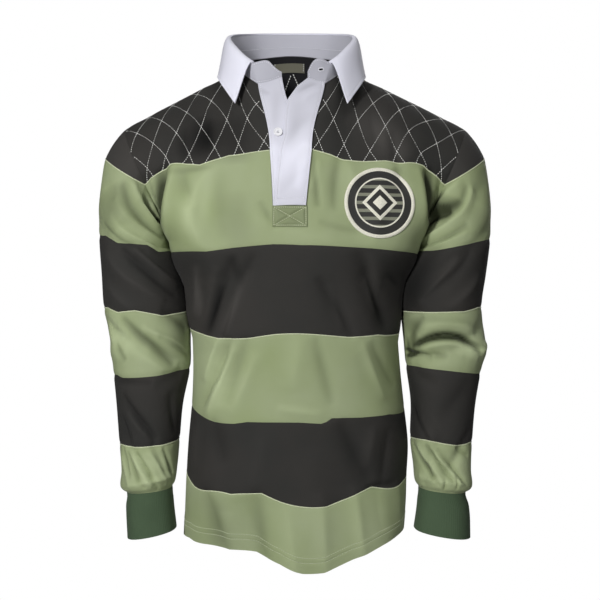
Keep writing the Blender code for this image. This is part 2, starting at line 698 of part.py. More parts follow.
def build_body(grids, collection, charcoal, sage):
    """Cut the body's grids into its yokes and bands."""
    yoke_end = level_row(1.0)
    chest_end = level_row(2.0)
    half = FRONT_COLUMNS + 1
    points, normals = grids[False]
    for name, cols, first in (("left", slice(half + 3, None), 0),
                              ("right", slice(0, half), half - 1)):
        wall = Wall(points[:yoke_end + 1, cols], normals[:yoke_end + 1, cols], JERSEY)
        quilt(wall, first)
        wall.build("front_yoke_" + name, collection, charcoal)
    back_points, back_normals = grids[True]
    wall = Wall(back_points[:yoke_end + 1], back_normals[:yoke_end + 1], JERSEY)
    quilt(wall, BACK_COLUMNS)
    wall.build("back_yoke", collection, charcoal)

    for side_name, (points, normals) in (("front", grids[False]), ("back", grids[True])):
        rows = slice(yoke_end, chest_end + 1)
        chest, chest_normals = points[rows].copy(), normals[rows].copy()
        chest[-1] = on_chords(chest[-1])
        chest_normals[-1] = on_chords(chest_normals[-1])
        cells = np.ones((chest.shape[0] - 1, chest.shape[1] - 1), bool)
        if side_name == "front":
            foot = level_row(SLOT_FOOT) - yoke_end
            cells[:foot, half - 1:half + 3] = False
        Wall(chest, chest_normals, JERSEY, cells).build(
            side_name + "_band_1", collection, sage)
        for band in range(2, 6):
            rows = slice(level_row(band), level_row(band + 1) + 1)
            cloth = sage if band % 2 else charcoal
            Wall(points[rows, ::2], normals[rows, ::2], JERSEY).build(
                f"{side_name}_band_{band}", collection, cloth)


def build_sleeve(name, side, grids, collection, charcoal, sage, rib):
    """Cap, five bands and cuff of one sleeve, sewn to the armhole of both body grids."""
    end = -1 if side > 0 else 0
    rows = level_row(ARMPIT)
    front_edge, back_edge = grids[False][0][:rows + 1, end], grids[True][0][:rows + 1, end]
    front_side, back_side = grids[False][1][:rows + 1, end], grids[True][1][:rows + 1, end]
    armhole = np.concatenate([front_edge, back_edge[-2:0:-1]])
    body_normals = np.concatenate([front_side, back_side[-2:0:-1]])
    cap, cap_normals, points, normals = sleeve_grid(side, armhole, RING_DEGREES)
    lift = np.cos(np.radians(RING_DEGREES))
    upper = lift > -1e-6
    armpit = np.maximum(-lift, 0)[:, None] * np.array([0, 0, -1.5])   # it faces down
    seam = unit(body_normals + np.where(upper[:, None], cap_normals[0], normals[0]) + armpit)
    edge = unit(cap_normals[-1] + normals[0])
    cap_normals[0] = seam
    cap_normals[-1] = edge
    normals[0] = np.where(upper[:, None], edge, seam)
    for back, part in ((False, seam[:rows + 1]), (True, np.concatenate(
            [seam[:1], seam[:rows - 1:-1]]))):
        grids[back][1][:rows + 1, end] = part

    count = len(RING_DEGREES)
    order = [j % count for j in range(-YOKE_ROWS, YOKE_ROWS + 1)]
    Wall(cap[:, order], cap_normals[:, order], JERSEY).build(
        f"sleeve_{name}_cap", collection, charcoal)
    first = 0
    for band, step in enumerate(SLEEVE_ROWS, start=1):
        rows = slice(first, first + step + 1)
        first += step
        if band == 6:
            label, cloth, thickness = "cuff", rib, RIB_KNIT
        else:
            label, cloth, thickness = f"band_{band}", sage if band % 2 else charcoal, JERSEY
        Wall(points[rows], normals[rows], thickness, wrap=True).build(
            f"sleeve_{name}_{label}", collection, cloth)


# ================================================================ collar and placket
def neck_ring(side, at):
    """Foot of the collar stand: the neckline, then the top of the placket."""
    half = LEAF_END / 2
    places = []
    for t in at:
        if t <= half:
            share = BACK_NECK * t / half
            places.append(top_edge(True, side, np.array([share]))[0][0])
        elif t <= LEAF_END:
            share = FRONT_NECK * (1 - (t - half) / half)
            places.append(top_edge(False, side, np.array([share]))[0][0])
        else:
            start = top_edge(False, side, np.array([0.0]))[0][0]
            end = np.array([side * TAB_END[0] + NECK_OFFSET, TAB_END[1], TAB_END[2]]) * MM
            share = (t - LEAF_END) / (1 - LEAF_END)
            sag = np.array([0, 0, -TAB_SAG]) * MM * math.sin(math.pi * share)
            places.append(start + (end - start) * share + sag)
    return np.array(places)


def collar_curve(side, at, *names):
    """One of the collar's edges at the stations in at."""
    curve = through(column(COLLAR_EDGE, COLLAR, "at"), columns(COLLAR_EDGE, COLLAR, *names), at)
    curve = curve * np.array([side, 1, 1])
    curve[:, 0] += NECK_OFFSET
    return curve * MM


def build_collar(collection, twill):
    """Stand round the neck, and the leaf that folds down over it."""
    at = np.linspace(0, 1, STAND_COLUMNS + 1)
    both = []
    for side in (-1, 1):
        foot = neck_ring(side, at)
        top = collar_curve(side, at, "fold_x", "fold_y", "fold_z")
        height = np.linspace(0, 1, 4)[:, None, None]
        lift = unit(top - foot) * 2 * SEAM_GAP
        rows = (foot + lift) * (1 - height) + (top - lift) * height
        both.append(rows)
    stand = np.concatenate([both[0][:, ::-1], both[1][:, 1:]], axis=1)
    normals = grid_normals(stand, stand - stand.mean(axis=1, keepdims=True))
    Wall(stand + normals * TWILL / 2, normals, TWILL).build("collar_stand", collection, twill)

    at = np.linspace(0, LEAF_END, LEAF_COLUMNS + 1)
    both = []
    for side in (-1, 1):
        fold = collar_curve(side, at, "fold_x", "fold_y", "fold_z")
        edge = collar_curve(side, at, "leaf_x", "leaf_y", "leaf_z")
        out = (edge - fold) * np.array([1, 1, 0]) + np.array([0, -4, 0]) * MM
        start = fold + np.array([0, 0, LEAF_GAP]) * MM
        leave = (unit(out) * LEAF_ROLL + np.array([0, 0, LEAF_RISE])) * MM
        arrive = (edge - fold) * 1.1
        both.append(np.array([hermite(start, leave, edge, arrive, row) for row in LEAF_ROWS]))
    leaf = np.concatenate([both[0][:, ::-1], both[1][:, 1:]], axis=1)
    normals = grid_normals(leaf, leaf - leaf.mean(axis=1, keepdims=True))
    Wall(leaf + normals * TWILL, normals, TWILL).build("collar_leaf", collection, twill)


def strip(side, name, lift, collection, twill):
    """One placket strip, from the slot's edge on its side to its own inner edge."""
    inner = "under" if side < 0 else "over"
    levels = BODY_LEVELS[:level_row(SLOT_FOOT) + 1]
    reach = np.interp(levels, column(PLACKET, STRIPS, "level"),
                      column(PLACKET, STRIPS, inner))
    across = np.linspace(0, 1, STRIP_COLUMNS + 1)
    edge = 0 if side < 0 else 1
    top = neck_ring(side, LEAF_END + across * (1 - LEAF_END))
    top_ground = slot_row(0.0, edge + (reach[0] - edge) * across)
    rows = []
    for level, end in zip(levels, reach):
        row = slot_row(level, edge + (end - edge) * across)
        rise = max(1 - level / OPEN_LEVEL, 0) ** 2
        rows.append(row + (top - top_ground) * rise)
    points = np.array(rows)
    normals = grid_normals(points, np.array([0, -1, 0]))
    Wall(points + normals * lift, normals, TWILL).build(name, collection, twill)


def build_placket(collection, twill, hard):
    """Under strip on the right of the slot, over strip on the left, and the button."""
    strip(-1, "placket_under", STRIP_LIFT, collection, twill)
    strip(1, "placket_over", 3 * STRIP_LIFT + TWILL, collection, twill)
    near = 0.01
    middle, beside = slot_row(BUTTON_LEVEL, [BUTTON_SHARE, BUTTON_SHARE + near])
    below = slot_row(BUTTON_LEVEL + near, [BUTTON_SHARE])[0]
    normal = unit(np.cross(below - middle, beside - middle))
    if normal[1] > 0:
        normal = -normal
    seat = middle + normal * (STRIP_LIFT + SEAM_GAP)
    mesh = bpy.data.meshes.new("placket_button")
    form = bmesh.new()
    bmesh.ops.create_cone(form, cap_ends=True, segments=24, radius1=BUTTON_RADIUS,
                          radius2=BUTTON_RADIUS * BUTTON_TAPER, depth=BUTTON_THICK)
    bmesh.ops.translate(form, verts=form.verts, vec=(0, 0, BUTTON_THICK / 2))
    form.to_mesh(mesh)
    form.free()
    mesh.materials.append(hard)
    button = bpy.data.objects.new("placket_button", mesh)
    button.location = seat
    button.rotation_euler = Vector(normal).to_track_quat("Z", "Y").to_euler()
    collection.objects.link(button)


def on_grid(grid, i, j):
    """Point and normal of a body grid between its rows and columns."""
    points, normals = grid
    row, col = int(i), int(j)
    a, b = i - row, j - col
    shares = ((1 - a) * (1 - b), row, col), ((1 - a) * b, row, col + 1), \
             (a * (1 - b), row + 1, col), (a * b, row + 1, col + 1)
    point = sum(share * points[r, c] for share, r, c in shares)
    normal = sum(share * normals[r, c] for share, r, c in shares)
    return point, unit(normal)


def build_label(grids, collection, cloth):
    """Blank label inside the back of the neck."""
    across = np.linspace(LABEL_COLUMNS[0], LABEL_COLUMNS[1], 6) + BACK_COLUMNS
    rows = np.interp(LABEL_LEVELS, BODY_LEVELS, np.arange(len(BODY_LEVELS)))
    found = [[on_grid(grids[True], i, j) for j in across] for i in rows]
    points = np.array([[point for point, _ in row] for row in found])
    normals = np.array([[normal for _, normal in row] for row in found])
    inside = points - normals * (JERSEY + SEAM_GAP)
    Wall(inside, normals, LABEL).build("neck_label", collection, cloth)


def build_patch(grids, collection, cloth):
    """Round embroidered patch on the wearer's left chest, plain, following the panel."""
    steps = np.linspace(-1, 1, PATCH_STEPS + 1)
    inner = slot_edge(PATCH_LEVEL, 1)
    points, normals = [], []
    for b in steps:
        for a in steps:
            wide = a * math.sqrt(1 - b * b / 2) * PATCH_WIDE
            tall = b * math.sqrt(1 - a * a / 2) * PATCH_TALL
            level = PATCH_LEVEL + tall
            share = (PATCH_ACROSS + wide - inner) / (1 - inner)
            i = np.interp(level, BODY_LEVELS, np.arange(len(BODY_LEVELS)))
            j = FRONT_COLUMNS + 1 + len(SLOT_SHARES) + share * FRONT_COLUMNS
            point, normal = on_grid(grids[False], i, j)
            points.append(point)
            normals.append(normal)
    shape = (len(steps), len(steps), 3)
    points, normals = np.array(points).reshape(shape), np.array(normals).reshape(shape)
    Wall(points + normals * (PATCH + PATCH_LIFT), normals, PATCH).build(
        "chest_patch", collection, cloth)


def main():
    """Model the shirt."""
    for obj in list(bpy.data.objects):
        bpy.data.objects.remove(obj)
    shirt = bpy.data.collections.new("rugby_shirt")
    bpy.context.scene.collection.children.link(shirt)
    charcoal = fabric("charcoal_jersey", CHARCOAL)
    sage = fabric("sage_jersey", SAGE)
    twill = fabric("white_twill", WHITE)
    rib = fabric("bottle_green_rib", BOTTLE_GREEN)
    grids = sewn_grids()
    for name, side in (("left", 1), ("right", -1)):
        build_sleeve(name, side, grids, shirt, charcoal, sage, rib)
    build_body(grids, shirt, charcoal, sage)
    build_collar(shirt, twill)
    build_placket(shirt, twill, fabric("button_white", BUTTON_WHITE, 0.4))
    build_label(grids, shirt, fabric("label_grey", LABEL_GREY))
    build_patch(grids, shirt, fabric("patch_thread", PATCH_CREAM))


main()
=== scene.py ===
import bpy
import math
import numpy as np
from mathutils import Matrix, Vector
from mathutils.bvhtree import BVHTree


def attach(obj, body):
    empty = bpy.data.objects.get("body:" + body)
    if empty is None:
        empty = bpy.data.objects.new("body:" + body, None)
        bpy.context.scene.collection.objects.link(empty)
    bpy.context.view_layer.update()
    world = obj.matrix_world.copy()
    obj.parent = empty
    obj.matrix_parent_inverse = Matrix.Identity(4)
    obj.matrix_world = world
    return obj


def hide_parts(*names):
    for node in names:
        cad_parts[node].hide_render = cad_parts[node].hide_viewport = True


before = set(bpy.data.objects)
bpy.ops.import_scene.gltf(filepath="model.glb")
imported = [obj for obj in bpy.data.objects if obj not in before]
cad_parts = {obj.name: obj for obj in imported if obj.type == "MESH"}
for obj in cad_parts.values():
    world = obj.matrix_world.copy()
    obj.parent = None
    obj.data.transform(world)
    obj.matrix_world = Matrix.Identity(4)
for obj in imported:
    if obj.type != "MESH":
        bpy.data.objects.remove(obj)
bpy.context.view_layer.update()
mm = 0.001
print("stage: frame loaded")

# Left and right are the wearer's: side 1 is the left (+X), side -1 the right. All tables are in mm.

# camera, floor and light
view = {"place": (0.0075, -1.5, -0.333), "lens": 60, "sensor": 36}
studio = {"floorZ": -1.0, "startY": -4.0, "wallY": 1.9, "bend": 0.7, "halfWidth": 5.0,
          "wallTop": 3.5, "paper": (0.30, 0.30, 0.30, 1), "paperRough": 0.9, "white": 1.0,
          "air": 0.09}
lamps = {
    # name: place, what it faces, size, watts
    "keyLight": ((-1.15, -2.15, 0.4), (0, 0, -0.38), 0.4, 52),
    "fillLight": ((1.0, -2.3, -0.3), (0, 0, -0.38), 0.9, 11),
    "topLight": ((0.4, -0.4, 1.6), (0, 0, -0.1), 0.8, 6),
    "backLight": ((0.9, 1.6, 0.6), (0, 0.2, -0.3), 1.3, 10),
}


def brightForCamera(tree, node, socket):
    # white to look at, dim as a light
    path = tree.nodes.new("ShaderNodeLightPath")
    level = tree.nodes.new("ShaderNodeMapRange")
    tree.links.new(path.outputs["Is Camera Ray"], level.inputs["Value"])
    level.inputs["To Min"].default_value = studio["air"]
    level.inputs["To Max"].default_value = studio["white"]
    tree.links.new(level.outputs["Result"], node.inputs[socket])


def makeStudio():
    bpy.ops.object.select_all(action="DESELECT")
    bpy.ops.object.camera_add(location=view["place"], rotation=(math.pi / 2, 0, 0))
    camera = bpy.context.object
    camera.data.lens = view["lens"]
    camera.data.sensor_width = view["sensor"]
    bpy.context.scene.camera = camera
    for name, (place, target, size, watts) in lamps.items():
        bpy.ops.object.light_add(type="AREA", location=place)
        lamp = bpy.context.object
        lamp.name = name
        lamp.data.shape = "DISK"
        lamp.data.size = size
        lamp.data.energy = watts
        lamp.rotation_euler = (Vector(target) - Vector(place)).to_track_quat("-Z", "Y").to_euler()
    world = bpy.data.worlds.new("studioAir")
    world.use_nodes = True
    brightForCamera(world.node_tree, world.node_tree.nodes["Background"], "Strength")
    bpy.context.scene.world = world
    bpy.context.scene.view_settings.view_transform = "Standard"

    # a floor that curves up into a wall
    turn = [math.radians(a) for a in range(0, 91, 10)]
    bend, floor, wall = studio["bend"], studio["floorZ"], studio["wallY"]
    side = [(studio["startY"], floor)]
    side += [(wall - bend + bend * math.sin(a), floor + bend - bend * math.cos(a)) for a in turn]
    side.append((wall, studio["wallTop"]))
    half = studio["halfWidth"]
    verts = [(x, y, z) for y, z in side for x in (-half, half)]
    faces = [(2 * i, 2 * i + 1, 2 * i + 3, 2 * i + 2) for i in range(len(side) - 1)]
    mesh = bpy.data.meshes.new("paleFloor")
    mesh.from_pydata(verts, [], faces)
    mesh.shade_smooth()
    paper = bpy.data.materials.new("palePaper")
    paper.use_nodes = True
    tree = paper.node_tree
    skin = tree.nodes["Principled BSDF"]
    skin.inputs["Base Color"].default_value = studio["paper"]
    skin.inputs["Roughness"].default_value = studio["paperRough"]
    glow = tree.nodes.new("ShaderNodeEmission")
    glow.inputs["Strength"].default_value = studio["white"]
    path, mixed = tree.nodes.new("ShaderNodeLightPath"), tree.nodes.new("ShaderNodeMixShader")
    tree.links.new(path.outputs["Is Camera Ray"], mixed.inputs[0])
    tree.links.new(skin.outputs[0], mixed.inputs[1])
    tree.links.new(glow.outputs[0], mixed.inputs[2])
    tree.links.new(mixed.outputs[0], tree.nodes["Material Output"].inputs["Surface"])
    mesh.materials.append(paper)
    floorPiece = bpy.data.objects.new("paleFloor", mesh)
    bpy.context.collection.objects.link(floorPiece)


makeStudio()
print("stage: camera and light")

# body sections
keys = (0.0, 0.36, 0.72, 0.86, 1.0)
upperNames = ("level", "zMid", "zChest", "zTurn", "zEdge", "yMid", "xChest", "yChest",
              "xTurn", "yTurn", "xHollow", "yHollow", "xEdge", "yEdge")
frontUpper = (
    (1.0, -121, -132, -139, -166, -98, 84, -92, 173, -73, 198, -61, 217, -60),
    (1.5, -188, -195, -203, -222, -111, 84, -105, 184, -79, 188, -52, 192, -44),
    (1.88, -239, -243, -250, -252, -115, 81, -109, 163, -79, 177, -44, 179, 2),
    (2.0, -255, -259, -265, -267, -116, 80, -110, 157, -78, 172, -44, 175, 2),
)
backUpper = (
    (1.0, -136, -137, -142, -166, 112, 84, 110, 176, 84, 201, 66, 217, 58),
    (1.5, -196, -198, -207, -222, 117, 84, 113, 184, 84, 190, 62, 192, 44),
    (1.88, -243, -245, -251, -252, 117, 81, 111, 164, 82, 178, 47, 179, 2),
    (2.0, -259, -260, -265, -267, 116, 80, 110, 158, 80, 173, 46, 175, 2),
)
lowerNames = ("level", "left", "right", "front", "back", "zMid", "zChest", "zTurn", "zEdge",
              "zBack", "zTilt")
trunk = (
    (2.35, 154.5, 160, 115, 112, -300, -302, -304, -300, -303, 0),
    (3.0, 154, 154.5, 113, 104, -380, -386, -384, -377, -386, 0),
    (3.5, 158, 152, 110, 101, -442, -447, -443, -434, -445, 0),
    (4.0, 164, 155, 108, 101, -503, -503, -499, -491, -503, 3),
    (4.5, 169, 159, 108, 104, -562, -556, -551, -540, -560, 2),
    (5.0, 167, 162, 109, 108, -619, -604, -601, -585, -613, -3),
    (5.5, 166, 164, 109, 110, -664, -646, -641, -628, -660, -6),
    (6.0, 163, 166, 109, 110, -712, -688, -680, -671, -706, -8),
)
bodyForm = {"armpit": 1.88, "squareness": 2.35, "sideY": 2, "keyAngles": (0, 31, 60, 76, 90),
            "upperHollow": 0.55, "lowerHollow": 0.6, "neckOffset": -5}

# neck, shoulders and placket slot
neckNames = ("at", "x", "y", "z", "runX", "runY", "runZ")
frontNeckline = (
    (0.0, 48, -63, -22, -12, -42, -95),
    (0.5, 70, -42, -3, -8, -75, -90),
    (1.0, 84, 6, 25, 0, -118, -62),
)
backNeckline = (
    (-0.5, -51, 67, 44, -3, 94, -130),
    (0.0, 0, 82, 52, 0, 64, -150),
    (0.5, 51, 67, 44, 3, 94, -130),
    (1.0, 84, 6, 25, 0, 124, -60),
)
seamNames = ("at", "x", "y", "z", "runFront", "runBack", "runZ")
shoulderSeam = (
    (0.0, 84, 6, 25, -118, 124, -62),
    (0.11, 102, 8, 4, -118, 124, -50),
    (0.3, 137, 7, -15, -118, 122, -46),
    (0.65, 197, 5, -46, -112, 114, -34),
    (1.0, 255, 2, -78, -97, 97, -8),
)
slot = {"foot": 1.6, "right": (-35, -31), "left": (24, 16), "crown": 7}
# quilting steps: columns from slot or middle to armhole, of these along the neckline; rows
quilt = {"front": 23, "frontNeck": 5, "back": 26, "backNeck": 8, "rows": 8, "shift": 1,
         "diamond": 4, "rise": 1.3, "wander": 0.2, "soft": 0.8, "liningFrom": 2.6,
         "liningTo": 6.15, "liningLift": 1.9}
frontNeck = quilt["frontNeck"] / quilt["front"]
backNeck = quilt["backNeck"] / quilt["back"]

# how finely each stretch is woven
fine = {"front": 69, "back": 78, "slot": 14, "yoke": 44, "chest": (32, 16, 7), "band": 34,
        "sleeve": (46, 32, 34, 31, 30, 4), "cap": 20}


def column(table, names, *wanted):
    found = np.array([[row[names.index(name)] for name in wanted] for row in table], float)
    return found[:, 0] if len(wanted) == 1 else found


def hermite(start, leave, end, arrive, t):
    return ((2 * t ** 3 - 3 * t ** 2 + 1) * start + (t ** 3 - 2 * t ** 2 + t) * leave
            + (3 * t ** 2 - 2 * t ** 3) * end + (t ** 3 - t ** 2) * arrive)


def through(knots, values, at):
    # smooth curve through values at knots
    knots, values = np.asarray(knots, float), np.asarray(values, float)
    at = np.clip(np.asarray(at, float), knots[0], knots[-1])
    spread = (slice(None),) + (None,) * (values.ndim - 1)
    step = np.diff(knots)
    rise = np.diff(values, axis=0) / step[spread]
    slope = np.empty_like(values)
    slope[0], slope[-1] = rise[0], rise[-1]
    before, after = step[:-1][spread], step[1:][spread]
    slope[1:-1] = (rise[:-1] * after + rise[1:] * before) / (before + after)
    i = np.clip(np.searchsorted(knots, at, side="right") - 1, 0, len(step) - 1)
    t, width = ((at - knots[i]) / step[i])[spread], step[i][spread]
    return hermite(values[i], slope[i] * width, values[i + 1], slope[i + 1] * width, t)


def unit(vectors):
    return vectors / np.maximum(np.linalg.norm(vectors, axis=-1, keepdims=True), 1e-12)


def ramp(value, width):
    # rises from 0 to 1 over the width
    return np.clip(value / width, 0, 1)


def upperKeys(table, side):
    x = column(table, upperNames, "xChest", "xTurn", "xHollow", "xEdge")
    y = column(table, upperNames, "yMid", "yChest", "yTurn", "yHollow", "yEdge")
    z = column(table, upperNames, "zMid", "zChest", "zTurn", "zEdge")
    hollow = z[:, 2] + bodyForm["upperHollow"] * (z[:, 3] - z[:, 2])
    x = np.concatenate([0 * x[:, :1], side * x], axis=1)
    z = np.stack([z[:, 0], z[:, 1], z[:, 2], hollow, z[:, 3]], axis=1)
    return np.stack([x, y, z], axis=-1)


def lowerKeys(side, back):
    half = column(trunk, lowerNames, "left" if side > 0 else "right")
    depth = column(trunk, lowerNames, "back") if back else -column(trunk, lowerNames, "front")
    angle = np.radians(bodyForm["keyAngles"])
    power = 2 / bodyForm["squareness"]
    x = side * half[:, None] * np.sin(angle) ** power
    y = depth[:, None] * np.cos(angle) ** power + bodyForm["sideY"] * np.sin(angle) ** 2
    z = column(trunk, lowerNames, "zMid", "zChest", "zTurn", "zEdge")
    z[:, 1] += side * column(trunk, lowerNames, "zTilt")
    if back:
        zBack = column(trunk, lowerNames, "zBack")
        z = np.stack([zBack, zBack, 0.5 * (zBack + z[:, 3]), z[:, 3]], axis=1)
    hollow = z[:, 2] + bodyForm["lowerHollow"] * (z[:, 3] - z[:, 2])
    z = np.stack([z[:, 0], z[:, 1], z[:, 2], hollow, z[:, 3]], axis=1)
    return np.stack([x, y, z], axis=-1)


def sectionTable(back):
    upper = backUpper if back else frontUpper
    levels = np.concatenate([column(upper, upperNames, "level"),
                             column(trunk, lowerNames, "level")])
    left = np.concatenate([upperKeys(upper, 1), lowerKeys(1, back)])
    right = np.concatenate([upperKeys(upper, -1), lowerKeys(-1, back)])
    return levels, np.concatenate([right[:, :0:-1], left], axis=1) * mm


fullKeys = tuple(-k for k in keys[:0:-1]) + keys
sections = {back: sectionTable(back) for back in (False, True)}


def onSection(back, level, across):
    levels, places = sections[back]
    return through(fullKeys, through(levels, places, [level])[0], across)


def slotEdge(level, side):
    edge = np.interp(level, (1.0, slot["foot"]), slot["left" if side > 0 else "right"])
    chest = through(*sections[False], [max(level, 1.0)])[0][5, 0] / mm
    return keys[1] * edge / chest


def frontAcross(level, side, share):
    inner = slotEdge(min(level, slot["foot"]), side)
    return inner + (side - inner) * share


def topEdge(back, side, share):
    table, neck = (backNeckline, backNeck) if back else (frontNeckline, frontNeck)
    share = np.asarray(share, float)
    at = column(table, neckNames, "at")
    point = through(at, column(table, neckNames, "x", "y", "z"), share / neck)
    leave = through(at, column(table, neckNames, "runX", "runY", "runZ"), share / neck)
    at = column(shoulderSeam, seamNames, "at")
    seam = (share - neck) / (1 - neck)
    shoulder = through(at, column(shoulderSeam, seamNames, "x", "y", "z"), seam)
    run = through(at, column(shoulderSeam, seamNames, "runBack" if back else "runFront", "runZ"),
                  seam)
    beyond = (seam > 0)[:, None]
    point = np.where(beyond, shoulder, point)
    leave = np.where(beyond, np.stack([0 * seam, run[:, 0], run[:, 1]], axis=-1), leave)
    mirror = np.array([side, 1, 1])
    point = point * mirror
    point[:, 0] += bodyForm["neckOffset"] * (1 - np.clip(seam, 0, 1))
    return point * mm, leave * mirror * mm


def sideRow(back, side, level, share):
    # one side from the middle or the slot to the side seam; above level 1 it bends to the neck
    yoke = level < 1
    across = side * share if back else frontAcross(1.0 if yoke else level, side, share)
    if not yoke:
        return onSection(back, level, across)
    start, leave = topEdge(back, side, share)
    end = onSection(back, 1.0, across)
    near = 0.02
    arrive = (onSection(back, 1.0 + near, across) - end) / near
    return hermite(start, leave, end, arrive, level)


def slotRow(level, share):
    share = np.asarray(share, float)
    right, left = slotEdge(max(level, 1.0), -1), slotEdge(max(level, 1.0), 1)
    curve = onSection(False, max(level, 1.0), right + (left - right) * share)
    if level >= 1.0:
        return curve
    ends = onSection(False, 1.0, [right, left])
    share = share[:, None]
    bulge = curve - (ends[0] + (ends[1] - ends[0]) * share)
    right = sideRow(False, -1, level, np.zeros(1))[0]
    left = sideRow(False, 1, level, np.zeros(1))[0]
    crown = np.array([0, -1, 0]) * slot["crown"] * mm * (1 - level) ** 2
    return right + (left - right) * share + crown * 4 * share * (1 - share) \
        + bulge * level * level * (3 - 2 * level)


def gridNormals(points, away, wrap=False):
    rows = np.gradient(points, axis=0)
    if wrap:
        cols = np.roll(points, -1, axis=1) - np.roll(points, 1, axis=1)
    else:
        cols = np.gradient(points, axis=1)
    normals = unit(np.cross(rows, cols))
    return normals if np.sum(normals * away) > 0 else -normals


# folds: soft ridges (depth above 0) and troughs (below 0) between two points
# bow moves the middle sideways; skew makes one flank steeper (0 where left out); the rest is in mm
foldNames = ("fromA", "fromZ", "toA", "toZ", "width", "depth", "bow", "skew")
frontFolds = (
    (-148, -175, -110, -250, 16, -3),
    (152, -170, 118, -240, 16, -2.5),
    (-140, -365, -112, -300, 12, -4),
    (-112, -378, -84, -300, 14, -3),
    (126, -372, 96, -300, 13, -4),
    (70, -384, 50, -310, 15, -2.5),
    (-140, -490, -96, -410, 15, -3),
    (138, -480, 100, -415, 15, -2.5),
    (-75, -620, -58, -700, 17, -7),
    (-100, -640, -104, -700, 14, 3),
    (112, -610, 122, -700, 16, -2.2),
    (30, -560, 14, -720, 26, 4),
    (-30, -140, -52, -245, 22, 2),
)
frontCreases = (
    # beside the armholes
    (190, -148, 197, -214, 5, -5),
    (178, -150, 185, -236, 6, 2, -4, 0.2),
    (-186, -140, -200, -214, 5, -5),
    (-171, -142, -184, -238, 6, 2.2, 4, 0.2),
    # chest
    (-124, -155, -133, -252, 15, 4.2, 16, 0.2),
    (-158, -156, -148, -198, 9, -3, 0, 0.2),
    (-106, -160, -100, -240, 11, -1.1),
    (-46, -198, -26, -232, 4.5, -2.2, 0, 0.2),
    (25, -124, 34, -200, 5, -3, 0, 0.3),
    (33, -140, 25, -176, 5, 1.6),
    (63, -136, 57, -204, 7, -2.6, 2, 0.2),
    (76, -140, 92, -194, 10, 1.6),
    (146, -148, 158, -186, 7, -3, 0, 0.2),
    (120, -160, 112, -250, 16, 2.4, -4),
    (38, -226, 92, -238, 5, -1.4, 2),
    (-60, -214, 44, -250, 14, 1.3, 5),
    (-160, -88, -156, -134, 8, -3.4, 2, 0.3),
    (-124, -64, -120, -118, 8, -2.8, 2, 0.2),
    (142, -92, 150, -148, 8, -3, 2, 0.2),
    (110, -60, 118, -112, 10, -2, 2, 0.2),
    # second band
    (-87, -278, -125, -374, 7, -3.4, 2, 0.2),
    (-79, -316, -97, -382, 5, 2.6, 0, 0.2),
    (-58, -276, -102, -380, 8, -3.2, 2, 0.2),
    (-110, -292, -133, -364, 7, 2.4, 0, 0.2),
    (-138, -288, -146, -354, 5, 2, 0, 0.2),
    (36, -306, 82, -380, 7, -3, -2, 0.2),
    (50, -316, 68, -370, 6, 1.8, 0, 0.2),
    (92, -270, 131, -368, 9, -3.2, -3, 0.2),
    (102, -308, 118, -350, 6, 1.8, 0, 0.2),
    # middle band
    (-107, -388, -129, -446, 4.5, 2.8, 0, 0.2),
    (-86, -404, -124, -492, 6, 3.2, 0, 0.2),
    (-112, -434, -133, -482, 5, -2.4, 0, 0.2),
    (-92, -390, -112, -448, 6, -2.6, 0, 0.2),
    (-54, -412, -88, -490, 9, 2.2),
    (-68, -390, -98, -476, 8, -2.4),
    (8, -386, -2, -450, 14, 1.6),
    (31, -390, 53, -474, 8, -2.2, 0, 0.2),
    (97, -398, 127, -468, 7, 1.9, 0, 0.2),
    (112, -396, 142, -452, 7, -2.2, 0, 0.2),
    (-20, -484, 36, -492, 6, 1.8, 0, 0.3),
    # fourth band
    (-116, -504, -102, -560, 12, -2.4),
    (-140, -512, -146, -572, 7, 1.8, 0, 0.2),
    (68, -510, 104, -582, 12, -3.4, 0, 0.2),
    (112, -516, 102, -566, 9, 1.8),
    (134, -520, 124, -592, 8, -2.2, 0, 0.2),
    (-40, -520, -60, -600, 16, 1.4),
    # hem
    (-128, -604, -92, -692, 12, -2.6, 0, 0.2),
    (-52, -606, -36, -712, 13, -3.2, 4, 0.2),
    (-10, -626, 2, -720, 12, 2.2, 0, 0.2),
    (38, -610, 44, -716, 12, 2.4, 0, 0.2),
    (84, -600, 98, -694, 11, 2.4, 0, 0.2),
    (116, -596, 128, -672, 9, -0.8, 2, 0.3),
    (102, -596, 142, -594, 4, -2.2, 0, 0.3),
    (148, -600, 152, -664, 8, 1.8, 0, 0.2),
)
backFolds = (
    (-150, -180, -108, -262, 16, -3.5),
    (150, -180, 112, -258, 16, -3),
    (-120, -300, -60, -382, 16, -3.5),
    (124, -296, 58, -390, 17, -4),
    (-136, -350, -20, -418, 15, -3),
    (130, -356, 24, -424, 16, -3),
    (-60, -600, -52, -700, 18, -6),
    (52, -590, 62, -700, 18, -6),
)
